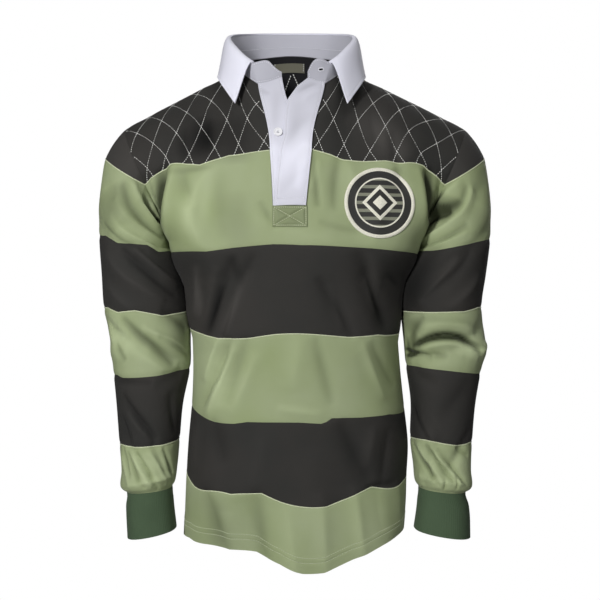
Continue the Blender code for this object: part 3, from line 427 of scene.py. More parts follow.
backCreases = (
    (-132, -90, -124, -176, 12, -1.8, 4, 0.2),
    (136, -94, 126, -182, 12, -1.6, -4, 0.2),
    (-30, -60, -24, -170, 20, 1.4, 3),
    (34, -70, 30, -178, 18, 1.2, 3),
    (-160, -205, -136, -268, 8, -2, 4, 0.3),
    (160, -202, 134, -266, 8, -2, -4, 0.3),
    (-146, -276, -84, -348, 10, -1.8, 8, 0.3),
    (-112, -264, -40, -330, 12, 1.3, 7, 0.2),
    (148, -280, 80, -346, 10, -1.7, -8, 0.3),
    (104, -262, 36, -322, 12, 1.2, -7, 0.2),
    (-140, -326, -70, -376, 8, -1.8, 5, 0.3),
    (142, -330, 76, -380, 8, -1.8, -5, 0.3),
    (-70, -394, 40, -426, 13, -1.6, 9, 0.2),
    (-144, -400, -92, -452, 9, -1.6, 6, 0.3),
    (146, -402, 92, -456, 9, -1.5, -6, 0.3),
    (-40, -440, 62, -462, 14, 1.2, 6),
    (-130, -470, -88, -540, 11, -1.4, 5, 0.2),
    (132, -466, 96, -546, 11, -1.5, -5, 0.2),
    (-110, -560, -98, -660, 12, 1.8, 3, 0.2),
    (0, -570, 4, -690, 20, 2.2, 3),
    (104, -556, 112, -660, 12, 1.7, 3, 0.2),
    (-28, -620, -20, -702, 10, -1.8, 2, 0.2),
    (26, -626, 34, -702, 10, -1.7, 2, 0.2),
    (140, -610, 146, -672, 9, -1.8, 2, 0.2),
    (-140, -604, -146, -670, 9, -1.8, 2, 0.2),
)
# sleeves: degrees round the arm (0 outer side, 90 front, 180 inner side, -90 back) and height
sleeveFolds = (
    (30, -150, 120, -262, 13, -4),
    (20, -215, 118, -300, 12, -3.5),
    (-30, -160, -120, -268, 14, -4),
    (-18, -230, -112, -318, 13, -3.5),
    (20, -364, 84, -404, 11, -5),
    (150, -424, 84, -404, 11, -4.5),
    (10, -408, 60, -412, 14, 4),
    (110, -452, 170, -430, 10, -3.5),
    (-30, -372, -96, -398, 12, -4.5),
    (-160, -428, -96, -398, 12, -4),
    (40, -520, 96, -590, 10, -3.5),
    (100, -530, 140, -598, 9, -3),
    (-40, -530, -80, -596, 10, -3.5),
    (-120, -540, -150, -596, 10, -3),
)
rightCreases = (
    # front of the upper arm, from the cap down to the armpit
    (72, -147, 143, -231, 4.5, 5, 13, 0.35),
    (96, -186, 147, -228, 4, -4.6, 4),
    (101, -176, 147, -222, 3.5, 2.8, 7, 0.3),
    (66, -168, 140, -241, 5, -2.8, 10),
    (63, -187, 143, -248, 7, 3, 8, 0.2),
    (64, -211, 123, -256, 7, 2.4, 5, 0.2),
    (48, -224, 108, -262, 5, -1.8, 4),
    (50, -270, 118, -332, 8, 3, 4, 0.2),
    (96, -262, 150, -308, 5, 3, 4, 0.3),
    (78, -262, 140, -324, 6, -2.8, 4),
    (40, -306, 82, -346, 8, 2.4, 2, 0.2),
    # elbow and forearm
    (67, -362, 131, -422, 7, -4.2, 3, 0.2),
    (93, -374, 160, -408, 5, 3.2, 0, 0.3),
    (112, -386, 166, -414, 4, -3.6, 0, 0.2),
    (120, -350, 160, -374, 9, -2.6),
    (40, -395, 58, -418, 6, -2.8),
    (24, -366, 42, -400, 8, 2.6, 0, 0.2),
    (58, -390, 112, -432, 9, 2.2),
    (54, -472, 108, -530, 6, -3.4, 0, 0.2),
    (45, -500, 62, -534, 5, -2.6),
    (62, -496, 100, -534, 5, 2.2, 0, 0.2),
    (30, -449, 95, -452, 4, -2),
    (130, -470, 150, -520, 8, -2),
    # gathers above the cuff
    (52, -553, 90, -600, 3.6, -3.4, 2, 0.2),
    (76, -553, 119, -601, 3.6, -3.4, 2, 0.2),
    (41, -549, 57, -586, 3.5, -2.8, 0, 0.2),
    (126, -547, 160, -590, 4, -3, 0, 0.2),
    (62, -552, 103, -598, 3.6, 2.4, 2),
    (98, -552, 140, -596, 4.5, 2.4),
    (30, -556, 60, -600, 4, 2),
    (60, -598, 160, -586, 4, 2.4),
)
leftCreases = (
    (75, -158, 148, -226, 5, 5, 6, 0.35),
    (99, -205, 146, -229, 4, -6, -3, 0.2),
    (62, -176, 160, -246, 6, 4.4, 15, 0.3),
    (66, -170, 104, -210, 5, -2.8, 5),
    (83, -225, 142, -252, 5, -3.2, 3, 0.2),
    (85, -238, 140, -256, 5, 2.2, 2, 0.2),
    (87, -276, 128, -338, 8, 3.2, 4, 0.2),
    (49, -302, 84, -342, 9, 2.6, 2, 0.2),
    (70, -268, 118, -330, 7, -2.8, 4),
    # elbow and forearm
    (43, -404, 135, -395, 5, -7.2, -16),
    (50, -412, 128, -404, 6, 3, -12, 0.2),
    (118, -413, 157, -414, 3.5, -3.6, -4, 0.2),
    (93, -413, 118, -410, 4, -2.2),
    (150, -409, 168, -409, 3, -4),
    (52, -378, 120, -372, 8, 3, -8),
    (125, -358, 152, -386, 8, -2.8),
    (22, -396, 44, -410, 6, 2.6),
    (166, -488, 121, -530, 6, -3.2, 0, 0.2),
    (150, -500, 108, -536, 6, 2),
    (60, -452, 100, -500, 14, -1.8),
    # gathers above the cuff
    (165, -541, 107, -595, 3.6, -4.2, 0, 0.25),
    (126, -543, 78, -592, 4, -3.4, 0, 0.2),
    (104, -549, 50, -598, 3.6, -3, 0, 0.2),
    (69, -545, 41, -556, 4, -2.4),
    (146, -542, 94, -594, 4, 2.4),
    (114, -546, 66, -595, 4, 2.4),
    (72, -586, 72, -602, 2.5, -2.2),
    (92, -590, 95, -604, 2.5, -2.2),
    (50, -597, 150, -588, 4, 2.4),
)
armBackCreases = (
    (-60, -158, -136, -236, 8, 2.8, 6, 0.3),
    (-44, -196, -122, -266, 8, -2.2, 6, 0.3),
    (-30, -236, -108, -296, 9, 2, 6, 0.3),
    (-66, -268, -134, -326, 8, -1.8, 5, 0.3),
    (-36, -306, -98, -352, 8, 1.6, 4, 0.2),
    (-28, -380, -90, -384, 7, 2, -3, 0.3),
    (-148, -400, -98, -388, 7, 1.8, -3, 0.3),
    (-34, -424, -96, -434, 8, -1.8, -3, 0.3),
    (-140, -456, -84, -494, 8, 1.4, -4, 0.3),
    (-30, -548, -58, -604, 5, 2.2, 3, 0.3),
    (-56, -544, -86, -602, 5, -2.2, 3, 0.3),
    (-92, -546, -114, -600, 5, 2, 3, 0.3),
    (-124, -548, -146, -598, 5, -1.8, 2, 0.3),
)
foldForm = {"end": 0.12, "sideHold": 0.12, "sleeveRadius": 62, "crisp": 0.75, "strength": 1.6,
            "armStrength": 1.45, "backStrength": 2.1}
# where the small creases fade out on the body: from the sides, the top, the slot and its foot
calming = {"side": 0.05, "top": 0.12, "slot": 6, "foot": 0.1}
# and folds and creases on a sleeve: below the cap, above the cuff, up to which turn, over how much
armCalming = {"folds": (0.25, 0.15, 170, 25), "creases": (0.06, 0.05, 174, 16)}
# painted shade and painted highlight on the cloth's colour: cloth deep in a fold is painted darker,
# and a ridge and the shoulder caps painted lighter: mm of fold for the whole effect, its share, and
# soft painted strokes as in the fold tables with the share as depth (below 0 a painted highlight)
paintedShadeAndHighlight = {"deep": 7, "high": 6, "body": 0.5, "arm": 0.85, "ridge": 0.3, "cap": -0.4}
# painted shade strokes (above 0) and painted highlight strokes (below 0) on the front
frontPaintedShading = (
    (-106, -316, -124, -378, 8, 0.7),
    (-66, -296, -102, -374, 7, -0.6),
    (-140, -288, -138, -352, 5, -0.5),
    (-88, -272, -80, -300, 7, 0.4),
    (106, -272, 122, -338, 9, -0.4),
    (112, -326, 128, -368, 6, 0.5),
    (131, -295, 147, -311, 3, 0.6),
    (193, -146, 196, -236, 8, 0.9),
    (-195, -150, -198, -250, 7, 0.85),
    (-118, -150, -134, -236, 9, -0.22),
    (-148, -186, -152, -236, 9, -0.18),
    (-80, -190, -76, -262, 22, 0.2),
    (-116, -412, -108, -478, 24, -0.38),
    (-176, -150, -118, -147, 5, 0.3),
    (-112, -612, -104, -700, 24, 0.25),
    (148, -268, 140, -350, 16, 0.25),
    (-128, -76, -138, -128, 24, 0.85),
    (-84, -76, -84, -134, 22, 0.42),
    (96, -66, 150, -128, 24, -0.95),
    (104, -610, 108, -690, 18, -0.4),
)
# painted shade and highlight strokes on the left sleeve
leftPaintedShading = (
    (100, -178, 124, -208, 16, 1.2),
    (144, -399, 36, -401, 5, 0.8, 14),
    (176, -404, 140, -408, 3, 0.8),
    (172, -415, 144, -413, 2.5, 0.7),
    (50, -378, 60, -412, 24, -0.4),
    (84, -190, 146, -225, 5, 0.8, 2),
    (134, -178, 112, -200, 9, 0.7),
    (138, -385, 152, -405, 10, 0.6),
    (90, -556, 95, -602, 34, -0.3),
    (158, -186, 104, -206, 11, 0.75),
    (138, -206, 170, -250, 14, 0.6),
    (172, -262, 152, -345, 22, 0.65),
    (124, -262, 134, -342, 22, 0.75),
    (168, -352, 136, -374, 16, 0.35),
    (60, -366, 120, -360, 7, 0.35),
    (158, -390, 162, -420, 6, 0.6),
    (60, -200, 74, -236, 22, 0.22),
    (168, -440, 150, -520, 18, 0.3),
    (36, -556, 64, -592, 24, -0.5),
)
# painted shade and highlight strokes on the right sleeve
rightPaintedShading = (
    (52, -380, 58, -412, 22, -0.3),
    (124, -546, 134, -588, 16, -0.35),
    (90, -556, 95, -602, 34, -0.28),
    (116, -178, 136, -222, 9, 0.85, -2),
    (134, -214, 162, -252, 12, 0.65),
    (170, -262, 150, -345, 18, 0.5),
    (165, -352, 140, -402, 18, 0.4),
    (48, -174, 70, -226, 30, 0.45),
    (84, -214, 110, -232, 12, 0.25),
    (36, -352, 60, -384, 18, -0.35),
    (144, -470, 142, -508, 16, -0.35),
    (45, -560, 120, -570, 16, -0.25),
)
paintedShadingGrids = {}
ripple = {"body": 0.55, "sleeve": 0.6}       # faint unevenness of all the cloth, in mm


def foldHeight(folds, across, height, scale=1.0, crisp=1.0):
    total = np.zeros_like(height)
    for row in folds:
        fold = {"bow": 0, "skew": 0, **dict(zip(foldNames, row))}
        run = np.array([(fold["toA"] - fold["fromA"]) * scale, fold["toZ"] - fold["fromZ"]])
        length = np.hypot(*run)
        run = run / length
        offA = (across - fold["fromA"]) * scale
        offZ = height - fold["fromZ"]
        along = (offA * run[0] + offZ * run[1]) / length
        beside = offA * run[1] - offZ * run[0]
        beside = beside - fold["bow"] * 4 * along * (1 - along) * (np.abs(along - 0.5) < 1)
        beside = beside / (fold["width"] * (1 + fold["skew"] * np.sign(beside)))
        beyond = np.maximum(np.maximum(-along, along - 1), 0) * length / fold["width"]
        phase = np.clip(foldForm["end"] + (1 - 2 * foldForm["end"]) * along, 0, 1)
        taper = np.sin(np.pi * phase) ** 0.7
        near = 0.03 * (crisp < 1)
        profile = np.exp(near ** crisp - (beside ** 2 + near) ** crisp - beyond ** 2)
        total += fold["depth"] * taper * profile
    return total * mm


def paintedFoldShading(raised, strokes, across, height, scale=1.0, share="body"):
    # painted shade in the troughs, painted highlight on the ridges, plus the painted strokes: above 0
    # darker, below 0 lighter
    raised = raised / mm
    trough = paintedShadeAndHighlight[share] * ramp(-raised, paintedShadeAndHighlight["deep"])
    ridge = paintedShadeAndHighlight["ridge"] * ramp(raised, paintedShadeAndHighlight["high"])
    return np.clip(trough - ridge + foldHeight(strokes, across, height, scale) / mm, -1, 1)


def unevenness(a, z, seed):
    # a few slow waves that never line up
    waves = ((0.021, 0.013, 0.4), (-0.034, 0.027, 1.9), (0.058, 0.041, 3.1), (-0.019, 0.071, 4.4),
             (0.083, -0.036, 5.2))
    total = 0
    for n, (fa, fz, phase) in enumerate(waves):
        total = total + np.sin(fa * a + fz * z + phase + seed * (n + 1.3)) / (1 + 0.35 * n)
    return total / 3


# the chest hangs out over each armhole and side as a lip, with a hollow behind it
lipNames = ("z", "outRight", "outLeft", "hollow")
lipTable = (
    (-125, 0, 0, 0),
    (-150, 1.5, 1, 4),
    (-166, 4, 3, 10),
    (-182, 6, 5, 16),
    (-202, 8, 7, 17),
    (-226, 9, 9, 11),
    (-250, 6, 6, 2),
    (-266, 8, 6, 0),
    (-290, 14, 13, 0),
    (-318, 10, 13, 0),
    (-355, 9, 8, 0),
    (-392, 0, 0, 0),
)
lip = {"from": 0.60, "peak": 0.83, "hold": 0.88, "hollowFrom": 0.85, "hollowTo": 0.96}
# how far each seam across the front slides up or down from its even line: x, rise
seamDrift = {
    1: ((-215, 0), (-177, 2), (-152, -6), (-135, -9), (-116, -3), (-93, 3), (-60, 3), (-35, 1.5),
        (24, 1), (50, -2), (69, -6), (100, -5), (128, -3), (154, -4), (184, 4), (215, 0)),
    2: ((-178, 3), (-150, 0), (-124, -3), (-85, -1), (-30, 0), (9, -2), (55, -1), (113, 0), (170, 0)),
    3: ((-155, 4), (-136, 3), (-106, -1), (-66, -2.5), (-27, 0), (6, 0), (76, 0), (119, 3.5),
        (150, -3)),
    4: ((-155, 4), (-142, 1), (-116, -2.5), (-86, -1), (-66, 2), (7, -1), (37, -4), (44, -2),
        (52, 3), (97, 1.5), (136, 4), (160, -3)),
    5: ((-161, 2), (-145, -2), (-119, -2), (-90, -5), (-70, 1), (-46, 8), (-20, 2.5), (23, -3.5),
        (45, -5.5), (75, 0), (110, 8.5), (141, 1), (165, -3)),
    6: ((-165, -5), (-152, 1), (-137, 1), (-92, -3), (-54, 9), (-20, 7), (11, -1), (41, -4),
        (82, 2), (125, 4.5), (160, 5)),
}


def smooth(value, start, end):
    t = np.clip((value - start) / (end - start), 0, 1)
    return t * t * (3 - 2 * t)


def hangOut(points):
    # slides the front's seams and pushes out the lip beside each armhole
    count = fine["front"]
    columns = np.arange(points.shape[1])
    aside = np.maximum(1 - columns / count, 1 - (points.shape[1] - 1 - columns) / count)
    side = np.where(columns < points.shape[1] / 2, -1, 1)
    z = points[..., 2] / mm
    table = {name: column(lipTable, lipNames, name) for name in lipNames}
    out = np.where(side < 0, np.interp(-z, -table["z"], table["outRight"]),
                   np.interp(-z, -table["z"], table["outLeft"]))
    back = np.interp(-z, -table["z"], table["hollow"])
    moved = points.copy()
    push = smooth(aside, lip["from"], lip["peak"]) * smooth(aside, 1.0, lip["hold"])
    moved[..., 0] += side * out * push * mm
    moved[..., 1] += back * smooth(aside, lip["hollowFrom"], lip["hollowTo"]) * mm
    rises = np.array([np.interp(points[levelRow(level), :, 0] / mm, *zip(*seamDrift[level]))
                      for level in sorted(seamDrift)])
    slide = np.array([[np.interp(level, (0.5, *sorted(seamDrift)), np.append(0, rises[:, j]))
                       for j in range(points.shape[1])] for level in bodyLevels])
    hold = ramp(1 - np.abs(np.linspace(-1, 1, points.shape[1])), calming["side"])
    moved[..., 2] += slide * hold * mm
    return moved


# body surface
def makeLevels():
    near = (0, 0.012, 0.03)
    chest = fine["chest"]
    levels = list(np.linspace(0, 1, fine["yoke"] + 1))
    levels[-1:] = [0.993, 1.0]
    levels += [1.012] + list(np.linspace(1, slot["foot"], chest[0] + 1)[1:])
    levels += list(np.linspace(slot["foot"], bodyForm["armpit"], chest[1] + 1)[1:])
    levels += list(np.linspace(bodyForm["armpit"], 2, chest[2] + 1)[1:])
    levels[-1:] = [1.988, 2.0]
    for band in range(2, 6):
        inner = np.linspace(0.055, 0.945, fine["band"] - 5)
        share = np.concatenate([near, inner, 1 - np.array(near[::-1])])
        if band == 5:     # finer towards the hem
            share = np.concatenate([near, np.linspace(0.055, 0.71, 20), np.linspace(0.73, 1, 22)])
        levels += list(band + share[1:])
    return np.array(levels)


bodyLevels = makeLevels()


def levelRow(level):
    return int(np.argmin(np.abs(bodyLevels - level)))


def bodyGrid(back):
    share = np.linspace(0, 1, (fine["back"] if back else fine["front"]) + 1)
    middleShare = np.linspace(0, 1, fine["slot"] + 1)[1:-1]
    rows = []
    slotEnds = slotEdge(slot["foot"], -1), slotEdge(slot["foot"], 1)
    for level in bodyLevels:
        left, right = (sideRow(back, side, level, share) for side in (1, -1))
        if back:
            rows.append(np.concatenate([right[:0:-1], left]))
            continue
        if level > slot["foot"]:
            across = slotEnds[0] + (slotEnds[1] - slotEnds[0]) * middleShare
            middle = onSection(False, level, across)
        else:
            middle = slotRow(level, middleShare)
        rows.append(np.concatenate([right[::-1], middle, left]))
    points = np.array(rows) if back else hangOut(np.array(rows))
    away = np.array([0, 1 if back else -1, 0])
    normals = gridNormals(points, away)
    edge = np.abs(np.linspace(-1, 1, points.shape[1]))
    hold = ramp(1 - edge, foldForm["sideHold"])
    x, z = points[..., 0] / mm, points[..., 2] / mm
    solid = foldHeight(backFolds if back else frontFolds, x, z) * hold
    added = foldHeight(backCreases if back else frontCreases, x, z, crisp=foldForm["crisp"])
    added = added * foldForm["backStrength" if back else "strength"]
    # painted shade and highlight from the creases, and on the front also from the painted strokes
    paintedShadingGrids["back" if back else "front"] = paintedFoldShading(
        added * hold, () if back else frontPaintedShading, x, z, share="arm" if back else "body")
    added = added + unevenness(x, z, 2.0 if back else 0.0) * ripple["body"] * mm
    calm = ramp(1 - edge, calming["side"]) * ramp(bodyLevels, calming["top"])[:, None]
    if not back:          # and flat round the placket
        aside = np.abs(np.arange(points.shape[1]) - fine["front"] - fine["slot"] / 2)
        aside = ramp(aside - fine["slot"] / 2, calming["slot"])
        below = ramp(bodyLevels - slot["foot"], calming["foot"])
        calm = calm * np.maximum(aside, below[:, None])
    points = points + normals * (solid + added * calm)[..., None]
    return points, gridNormals(points, away)


# sleeve surface
ringNames = ("ring", "outLeft", "outRight", "outZ", "inLeft", "inRight", "inZ", "depth", "y")
sleeveRings = (
    (1.45, 291, 291, -186, 182, 183, -263, 67, -2),
    (2.0, 290, 291, -239, 176, 177.5, -269, 68, -4),
    (2.5, 284, 287, -293, 158.5, 164.5, -312, 67, -6),
    (3.0, 277, 283, -345, 158, 157, -350, 64, -9),
    (3.5, 281, 271, -400, 162, 155.5, -396, 62, -12),
    (4.0, 274, 268, -444, 165, 156, -434, 59, -15),
    (4.5, 265, 262, -496, 171.5, 166, -486, 55, -20),
    (5.0, 260, 257, -547, 170, 170, -537, 50, -26),
    (5.55, 258, 254, -584, 174, 173, -575, 45, -30),
    (5.85, 258, 254, -606, 176.5, 176, -598, 43, -33),
    (6.0, 250, 246, -613, 180.5, 179, -606, 36, -35),
    (6.3, 253, 246, -632, 179, 178, -625, 38, -37),
    (7.0, 254, 243, -677, 173, 173, -664, 40, -43),
)
sleeveForm = {"round": 0.92, "capDrop": (29, 0, -43), "capTip": 1.0, "capBulge": (2.0, 0, 1.25)}


# how far each seam round a sleeve slides up or down: degrees from the outer side, rise
armDrift = {
    -1: {2: ((0, 0), (43, 3), (69, -3), (112, 6), (131, 1), (150, 6), (180, 9)),
         3: ((0, 0), (36, 1), (59, -5), (84, -1.5), (117, -7), (150, -2), (180, 2)),
         4: ((0, 1), (34, 1.5), (51, -3.3), (80, -4), (108, -4), (143, -1), (180, 0)),
         5: ((0, 4), (36, 4), (69, 0), (118, -2), (180, 0))},
    1: {2: ((0, -3), (41, -4), (75, -4), (128, 2), (150, 6), (180, 10)),
        3: ((0, 1), (35, 1.5), (67, -3.7), (113, -2.5), (180, 1)),
        4: ((0, 3), (31, 3), (95, 5), (180, 5)),
        5: ((0, 6), (31, 7), (64, 2.4), (127, 5), (180, 2))},
}


def sleeveRows():
    levels = [1.0]
    for band, rows in enumerate(fine["sleeve"], start=1):
        share = np.concatenate([[0.015, 0.035], np.linspace(0.065, 0.935, rows - 4),
                                [0.965, 0.985, 1.0]])
        levels += list(band + share)
    return np.array(levels)


sleeveLevels = sleeveRows()
armpitRow = levelRow(bodyForm["armpit"])
armLevels = bodyLevels[:armpitRow + 1]
halfDegrees = np.where(armLevels <= 1, 90 * armLevels,
                       90 + 90 * (armLevels - 1) / (bodyForm["armpit"] - 1))
ringDegrees = np.concatenate([halfDegrees, 360 - halfDegrees[-2:0:-1]])


def roundRing(row, side, degrees):
    ring = dict(zip(ringNames, row))
    name = "Left" if side > 0 else "Right"
    outer = np.array([ring["out" + name], ring["outZ"]], float)
    inner = np.array([ring["in" + name], ring["inZ"]], float)
    angle = np.radians(degrees)
    lift, front = np.cos(angle), np.sin(angle)
    lift = np.sign(lift) * np.abs(lift) ** sleeveForm["round"]
    front = np.sign(front) * np.abs(front) ** sleeveForm["round"]
    centre, reach = (outer + inner) / 2, (outer - inner) / 2
    return np.stack([side * (centre[0] + reach[0] * lift), ring["y"] - ring["depth"] * front,
                     centre[1] + reach[1] * lift], axis=-1) * mm


def armCalm(kind, turn):
    cap, cuffEnd, inner, width = armCalming[kind]
    ends = ramp(sleeveLevels - 1.0, cap) * ramp(6.0 - sleeveLevels, cuffEnd)
    return ends[:, None] * ramp(inner - np.abs(turn), width)


def sleeveGrid(side, armhole):
    degrees = ringDegrees
    lift = np.cos(np.radians(degrees))
    width = np.maximum(lift, 0)
    mirror = np.array([side, 1, 1])
    tip = (np.abs(lift) < 1e-6) * sleeveForm["capTip"] * mm
    capEdge = armhole + width[:, None] * sleeveForm["capDrop"] * mirror * mm
    capEdge = capEdge + tip[:, None] * np.array([0, 0, -1])
    rings = [capEdge] + [roundRing(row, side, degrees) for row in sleeveRings]
    at = np.concatenate([[1.0], column(sleeveRings, ringNames, "ring")])
    full = through(np.concatenate([[0.0], at]), np.array([armhole] + rings), sleeveLevels)
    plain = through(at, np.array(rings), sleeveLevels)
    blend = (width ** 2)[None, :, None]
    points = full * blend + plain * (1 - blend)
    turn = np.where(degrees > 180, degrees - 360, degrees)
    drift = armDrift[side]
    rises = np.array([np.interp(np.abs(turn), *zip(*drift[ring])) for ring in sorted(drift)])
    points[..., 2] += mm * np.array([np.interp(sleeveLevels, (1.3, *sorted(drift), 5.8),
                                               [0, *rise, 0]) for rise in rises.T]).T
    down = np.linspace(0, 1, fine["cap"] + 1)[:, None, None]
    bulge = width[:, None] * sleeveForm["capBulge"] * mirror * mm
    cap = armhole + (capEdge - armhole) * down + bulge * np.sin(np.pi * down)
    away = points - points.mean(axis=1, keepdims=True)
    normals = gridNormals(points, away, wrap=True)
    angle = np.broadcast_to(turn, points.shape[:2])
    z = points[..., 2] / mm
    scale = math.radians(1) * foldForm["sleeveRadius"]
    name, creases, strokes = (("left", leftCreases, leftPaintedShading) if side > 0 else
                              ("right", rightCreases, rightPaintedShading))
    raised = foldHeight(sleeveFolds, angle, z, scale) * armCalm("folds", turn)
    around = np.radians(turn)
    wave = (np.sin(around * 2 + z * 0.03 + side) + np.sin(around * 3 - z * 0.05)
            + unevenness(60 * np.cos(around), z, 4 + side)) / 3
    calm = armCalm("creases", turn)
    added = foldHeight(creases, angle, z, scale, foldForm["crisp"]) * foldForm["armStrength"]
    behind = foldHeight(armBackCreases, angle, z, scale, foldForm["crisp"])
    added = added + behind * foldForm["backStrength"]
    # painted shade and highlight of the sleeve from its creases and painted strokes
    paintedShadingGrids[name] = paintedFoldShading(added * calm, strokes, angle, z, scale, "arm")
    raised = raised + (added + wave * ripple["sleeve"] * mm) * calm
    points = points + normals * raised[..., None]
    return cap, gridNormals(cap, cap[0] - armhole.mean(axis=0)), points, \
        gridNormals(points, away, wrap=True)


# sewing the surfaces together: shared normals at every seam
def sewBody():
    grids = {back: bodyGrid(back) for back in (False, True)}
    rows = slice(armpitRow, None)
    front, rear = grids[False], grids[True]
    for end in (0, -1):
        for n, merge in ((1, unit), (0, lambda v: v / 2)):
            seam = merge(front[n][rows, end] + rear[n][rows, end])
            front[n][rows, end] = seam
            rear[n][rows, end] = seam
    shoulder = np.arange(round(fine["front"] * (1 - frontNeck)) + 1)
    for steps in (shoulder, -1 - shoulder):
        seam = unit(front[1][0, steps] + rear[1][0, steps])
        front[1][0, steps] = seam
        rear[1][0, steps] = seam
    return grids


def sewSleeve(side, grids):
    end = -1 if side > 0 else 0
    count = armpitRow + 1
    edges = [grids[back][0][:count, end] for back in (False, True)]
    sides = [grids[back][1][:count, end] for back in (False, True)]
    armhole = np.concatenate([edges[0], edges[1][-2:0:-1]])
    bodySide = np.concatenate([sides[0], sides[1][-2:0:-1]])
    cap, capNormals, points, normals = sleeveGrid(side, armhole)
    lift = np.cos(np.radians(ringDegrees))
    upper = (lift > -1e-6)[:, None]
    under = np.maximum(-lift, 0)[:, None] * np.array([0, 0, -1.5])
    seam = unit(bodySide + np.where(upper, capNormals[0], normals[0]) + under)
    edge = unit(capNormals[-1] + normals[0])
    capNormals[0], capNormals[-1] = seam, edge
    normals[0] = np.where(upper, edge, seam)
    grids[False][1][:count, end] = seam[:count]
    grids[True][1][:count, end] = np.concatenate([seam[:1], seam[:count - 2:-1]])
    return {"cap": cap, "capNormals": capNormals, "points": points, "normals": normals}


grids = sewBody()
arms = {side: sewSleeve(side, grids) for side in (1, -1)}
print("stage: surfaces")


# materials
def newMaterial(name, roughness, sheen=0.0, specular=0.35):
    material = bpy.data.materials.new(name)
    material.use_nodes = True
    skin = material.node_tree.nodes["Principled BSDF"]
    skin.inputs["Roughness"].default_value = roughness
    skin.inputs["Sheen Weight"].default_value = sheen
    skin.inputs["Sheen Roughness"].default_value = 0.4
    skin.inputs["Specular IOR Level"].default_value = specular
    return material, material.node_tree, skin


def put(tree, value, socket):
    if isinstance(value, bpy.types.NodeSocket):
        tree.links.new(value, socket)
    else:
        socket.default_value = value


def maths(tree, operation, *values):
    node = tree.nodes.new("ShaderNodeMath")
    node.operation = operation
    for n, value in enumerate(values):
        put(tree, value, node.inputs[n])
    return node.outputs[0]


def mixColour(tree, share, first, second):
    node = tree.nodes.new("ShaderNodeMix")
    node.data_type = "RGBA"
    put(tree, share, node.inputs["Factor"])
    for value, name in ((first, "A"), (second, "B")):
        socket = [s for s in node.inputs if s.name == name and s.type == "RGBA"][0]
        put(tree, value if isinstance(value, bpy.types.NodeSocket) else (*value[:3], 1), socket)
    return [s for s in node.outputs if s.type == "RGBA"][0]


def noise(tree, where, scale, detail=2.0, rough=0.5):
    node = tree.nodes.new("ShaderNodeTexNoise")
    tree.links.new(where, node.inputs["Vector"])
    node.inputs["Scale"].default_value = scale
    node.inputs["Detail"].default_value = detail
    node.inputs["Roughness"].default_value = rough
    return node.outputs["Fac"]


def remap(tree, value, low, high):
    node = tree.nodes.new("ShaderNodeMapRange")
    put(tree, value, node.inputs["Value"])
    node.inputs["From Min"].default_value = low
    node.inputs["From Max"].default_value = high
    return node.outputs["Result"]


def bump(tree, height, skin, strength, distance):
    node = tree.nodes.new("ShaderNodeBump")
    node.inputs["Strength"].default_value = strength
    node.inputs["Distance"].default_value = distance
    tree.links.new(height, node.inputs["Height"])
    tree.links.new(node.outputs["Normal"], skin.inputs["Normal"])


def newGroup(name, inputs, outputs):
    group = bpy.data.node_groups.new(name, "ShaderNodeTree")
    for label, kind, value in inputs:
        socket = group.interface.new_socket(label, in_out="INPUT", socket_type=kind)
        if value is not None:
            socket.default_value = value
    for label, kind in outputs:
        group.interface.new_socket(label, in_out="OUTPUT", socket_type=kind)
    return group, group.nodes.new("NodeGroupInput"), group.nodes.new("NodeGroupOutput")


def split(tree, vector):
    node = tree.nodes.new("ShaderNodeSeparateXYZ")
    tree.links.new(vector, node.inputs[0])
    return node.outputs["X"], node.outputs["Y"]


# widths in metres, shares of colour, and bump as strength and depth
weaving = {"wale": 0.0013, "course": 0.75, "slant": 1.6, "gapPaintedShade": 0.30, "fibreShade": 0.10,
           "knitBump": (0.35, 0.0004), "pitch": 0.0009, "weft": 0.25, "cloudShade": 0.35,
           "twillBump": (0.25, 0.0003), "threadBump": (0.4, 0.0003)}


def jerseyGroup():
    # rows of small V-shaped stitches
    group, entry, out = newGroup("jerseyKnit", [("Cloth", "NodeSocketVector", None),
                                                ("Wale", "NodeSocketFloat", weaving["wale"])],
                                 [("Height", "NodeSocketFloat"), ("Gap", "NodeSocketFloat")])
    u, v = split(group, entry.outputs["Cloth"])
    wale = maths(group, "FRACT", maths(group, "DIVIDE", u, entry.outputs["Wale"]))
    beside = maths(group, "ABSOLUTE", maths(group, "SUBTRACT", wale, 0.5))
    tall = maths(group, "MULTIPLY", entry.outputs["Wale"], weaving["course"])
    course = maths(group, "DIVIDE", v, tall)
    slant = maths(group, "ADD", course, maths(group, "MULTIPLY", beside, weaving["slant"]))
    leg = maths(group, "SINE", maths(group, "MULTIPLY", slant, 2 * math.pi))
    ridge = maths(group, "SINE", maths(group, "MULTIPLY", beside, 2 * math.pi))
    height = maths(group, "MULTIPLY", ridge, maths(group, "MULTIPLY_ADD", leg, 0.3, 0.7))
    group.links.new(height, out.inputs["Height"])
    group.links.new(maths(group, "SUBTRACT", 1.0, ridge), out.inputs["Gap"])
    return group


def twillGroup():
    # fine diagonal lines crossed by the weft
    group, entry, out = newGroup("twillWeave", [("Cloth", "NodeSocketVector", None),
                                                ("Pitch", "NodeSocketFloat", weaving["pitch"])],
                                 [("Height", "NodeSocketFloat")])
    u, v = split(group, entry.outputs["Cloth"])
    across = maths(group, "DIVIDE", u, entry.outputs["Pitch"])
    down = maths(group, "DIVIDE", v, entry.outputs["Pitch"])
    line = maths(group, "SINE", maths(group, "MULTIPLY", maths(group, "ADD", across, down), math.pi))
    weft = maths(group, "SINE", maths(group, "MULTIPLY", down, 4 * math.pi))
    height = maths(group, "MULTIPLY_ADD", weft, weaving["weft"], maths(group, "ABSOLUTE", line))
    group.links.new(height, out.inputs["Height"])
    return group


